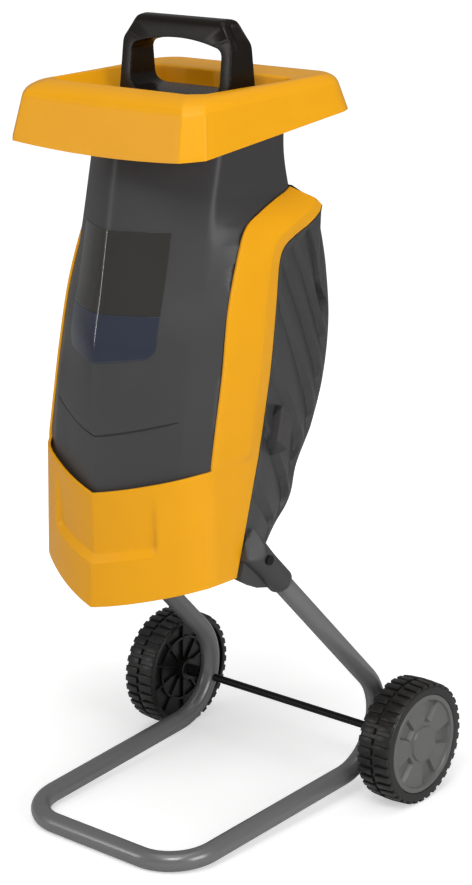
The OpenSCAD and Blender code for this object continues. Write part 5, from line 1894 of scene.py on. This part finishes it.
    def _tread(self, name: str) -> bpy.types.Object:
        """Two staggered rows of bars round the tyre.

        Args:
            name: Name of the object.

        Returns:
            The object.
        """
        pitch = 2 * math.pi / self.tread_n
        low, high = self.tread_gap / 2, self.width / 2 - self.bar_in
        foot_r = self.tyre_r - self.shoulder_h
        blocks = []
        for row, turn in ((1, 0.0), (-1, 0.5)):
            corners = []
            for z, head_r in ((row * low, self.radius), (row * high, self.radius - self.bar_fall)):
                for r, part in ((foot_r, -self.bar_foot), (head_r, -self.bar_head),
                                (head_r, self.bar_head), (foot_r, self.bar_foot)):
                    a = pitch * (turn + part / 2)
                    corners.append((r * math.cos(a), r * math.sin(a), z))
            blocks.append(block(corners))
        return self._repeat(name, blocks, self.tread_n, self.bar_soft)

    def _ribs(self, name: str) -> bpy.types.Object:
        """Low spokes on the inner side of the web.

        Args:
            name: Name of the object.

        Returns:
            The object.
        """
        start, end = self.boss_r - self.rib_sink, self.tyre_r - self.rim + self.rib_sink
        half, high, low = self.rib_t / 2, self.web[0] + self.rib_sink, self.web[0] - self.rib_h
        section = ((-half, low), (half, low), (half, high), (-half, high))
        corners = [(x, y, z) for x in (start, end) for y, z in section]
        return self._repeat(name, [block(corners)], self.rib_n, self.rib_soft)

    def _cap(self, name: str) -> bpy.types.Object:
        """Hub cap with trapezoid pockets between its rim and its boss.

        Args:
            name: Name of the object.

        Returns:
            The object.
        """
        half, cap_r, back = self.width / 2, self.cap_r, self.width / 2 - self.cap_t
        face_from, face_n = self.cap_face
        face = np.linspace(face_from, cap_r - self.edge_cut, face_n)
        radii = np.concatenate((np.linspace(*self.cap_middle), face))
        angles = np.linspace(0.0, 2 * math.pi, self.cap_n, endpoint=False)
        verts = [
            (r * math.cos(a), r * math.sin(a), half + self._cap_height(r, a)) for r in radii for a in angles
        ]
        edge = ((cap_r, half - self.edge_cut), (cap_r, back), (self.boss_r + self.cap_back, back))
        verts += [(r * math.cos(a), r * math.sin(a), z) for r, z in edge for a in angles]
        faces = [tuple(range(self.cap_n)), *ring_faces(len(radii) + len(edge), self.cap_n)]
        return bake(closed_object(name, self._to_world(np.array(verts)), faces), self.cap_sharp_deg)

    def _cap_height(self, r: float, a: float) -> float:
        """Height of the cap's face against the wheel's outer face.

        Args:
            r: Distance from the axle.
            a: Angle about the axle.

        Returns:
            The height, zero or less.
        """
        inside = self.cap_r - self.cap_rim
        deep = self.field_deep * smoothstep(self.cap_boss_r, self.cap_boss_r + self.field_soft, r)
        deep *= smoothstep(inside, inside - self.field_soft, r)
        pitch = 2 * math.pi / self.pocket_n
        off = (a - math.radians(self.hub_turn) + pitch / 2) % pitch - pitch / 2
        along_arm, across = r * math.cos(off), abs(r * math.sin(off))
        soft, wide = self.pocket_soft, self.pocket_part * math.pi / self.pocket_n * along_arm
        pocket = smoothstep(wide + soft, wide - soft, across)
        pocket *= smoothstep(self.pocket_from - soft, self.pocket_from + soft, along_arm)
        outer = inside - self.pocket_rim
        pocket *= smoothstep(outer + soft, outer - soft, along_arm)
        return -deep - (self.pocket_deep - self.field_deep) * pocket


# CAD nodes that keep their shape, by finish
NODE_LOOKS: dict[Look, tuple[str, ...]] = {
    Look.TUBE_PAINT: ("front_bow",),
    Look.AXLE_STEEL: ("axle", "leg_screws"),
    Look.WHEEL_PE: ("axle_spacers",),
    Look.ZINC_STEEL: (
        "axle_push_nuts", "chamber_cover", "chamber_ring", "blade_disc", "blade_screws", "disc_nut",
        "motor_deck", "left_side_bracket", "right_side_bracket", "deck_screws", "motor_bolts", "lock_stud",
    ),
    Look.BLADE_STEEL: (
        "counter_blade", "left_blade", "right_blade", "motor_shaft", "upper_bearing", "lower_bearing",
    ),
    Look.CONTROL_PA: (
        "feed_chute", "chip_shield", "motor_end_cap", "cooling_fan", "rocker_switch", "mains_inlet",
    ),
    Look.MOTOR_STEEL: ("motor_can",),
    Look.COPPER_WIRE: ("armature",),
    Look.DARK_PP: ("switch_housing",),
    Look.RED_PP: ("reset_button",),
    Look.BRASS_PIN: ("inlet_pins",),
    Look.BLACK_PP: ("lock_knob",),
}


def write_sizes() -> None:
    """Update the view layer so that every object's place is current."""
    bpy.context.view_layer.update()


def main() -> None:
    """Build the studio and every piece of the machine."""
    logging.basicConfig(level=logging.INFO, format="%(name)s: %(message)s")
    Studio().build()
    palette = Palette()
    form = HousingForm()
    cover = FrontCover(form)
    pieces = [FeedTower(form, cover).build(), cover.build(), Hopper().build(), Plunger().build()]
    pieces += RearShell(form, cover).build() + LabelFilm(form).build()
    ring = AxleRing()
    for side in Side:
        socket = LegSocket(side)
        tube = LegTube(socket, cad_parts[f"{side.name.lower()}_leg_tube"])
        pieces += [socket.build(), tube.build(), *Wheel(side, palette, ring).build()]
    for piece in pieces:
        piece.place(palette)
    for look, nodes in NODE_LOOKS.items():
        for node in nodes:
            palette.dress(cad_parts[node], look)
    write_sizes()


if __name__ == "__main__":
    main()
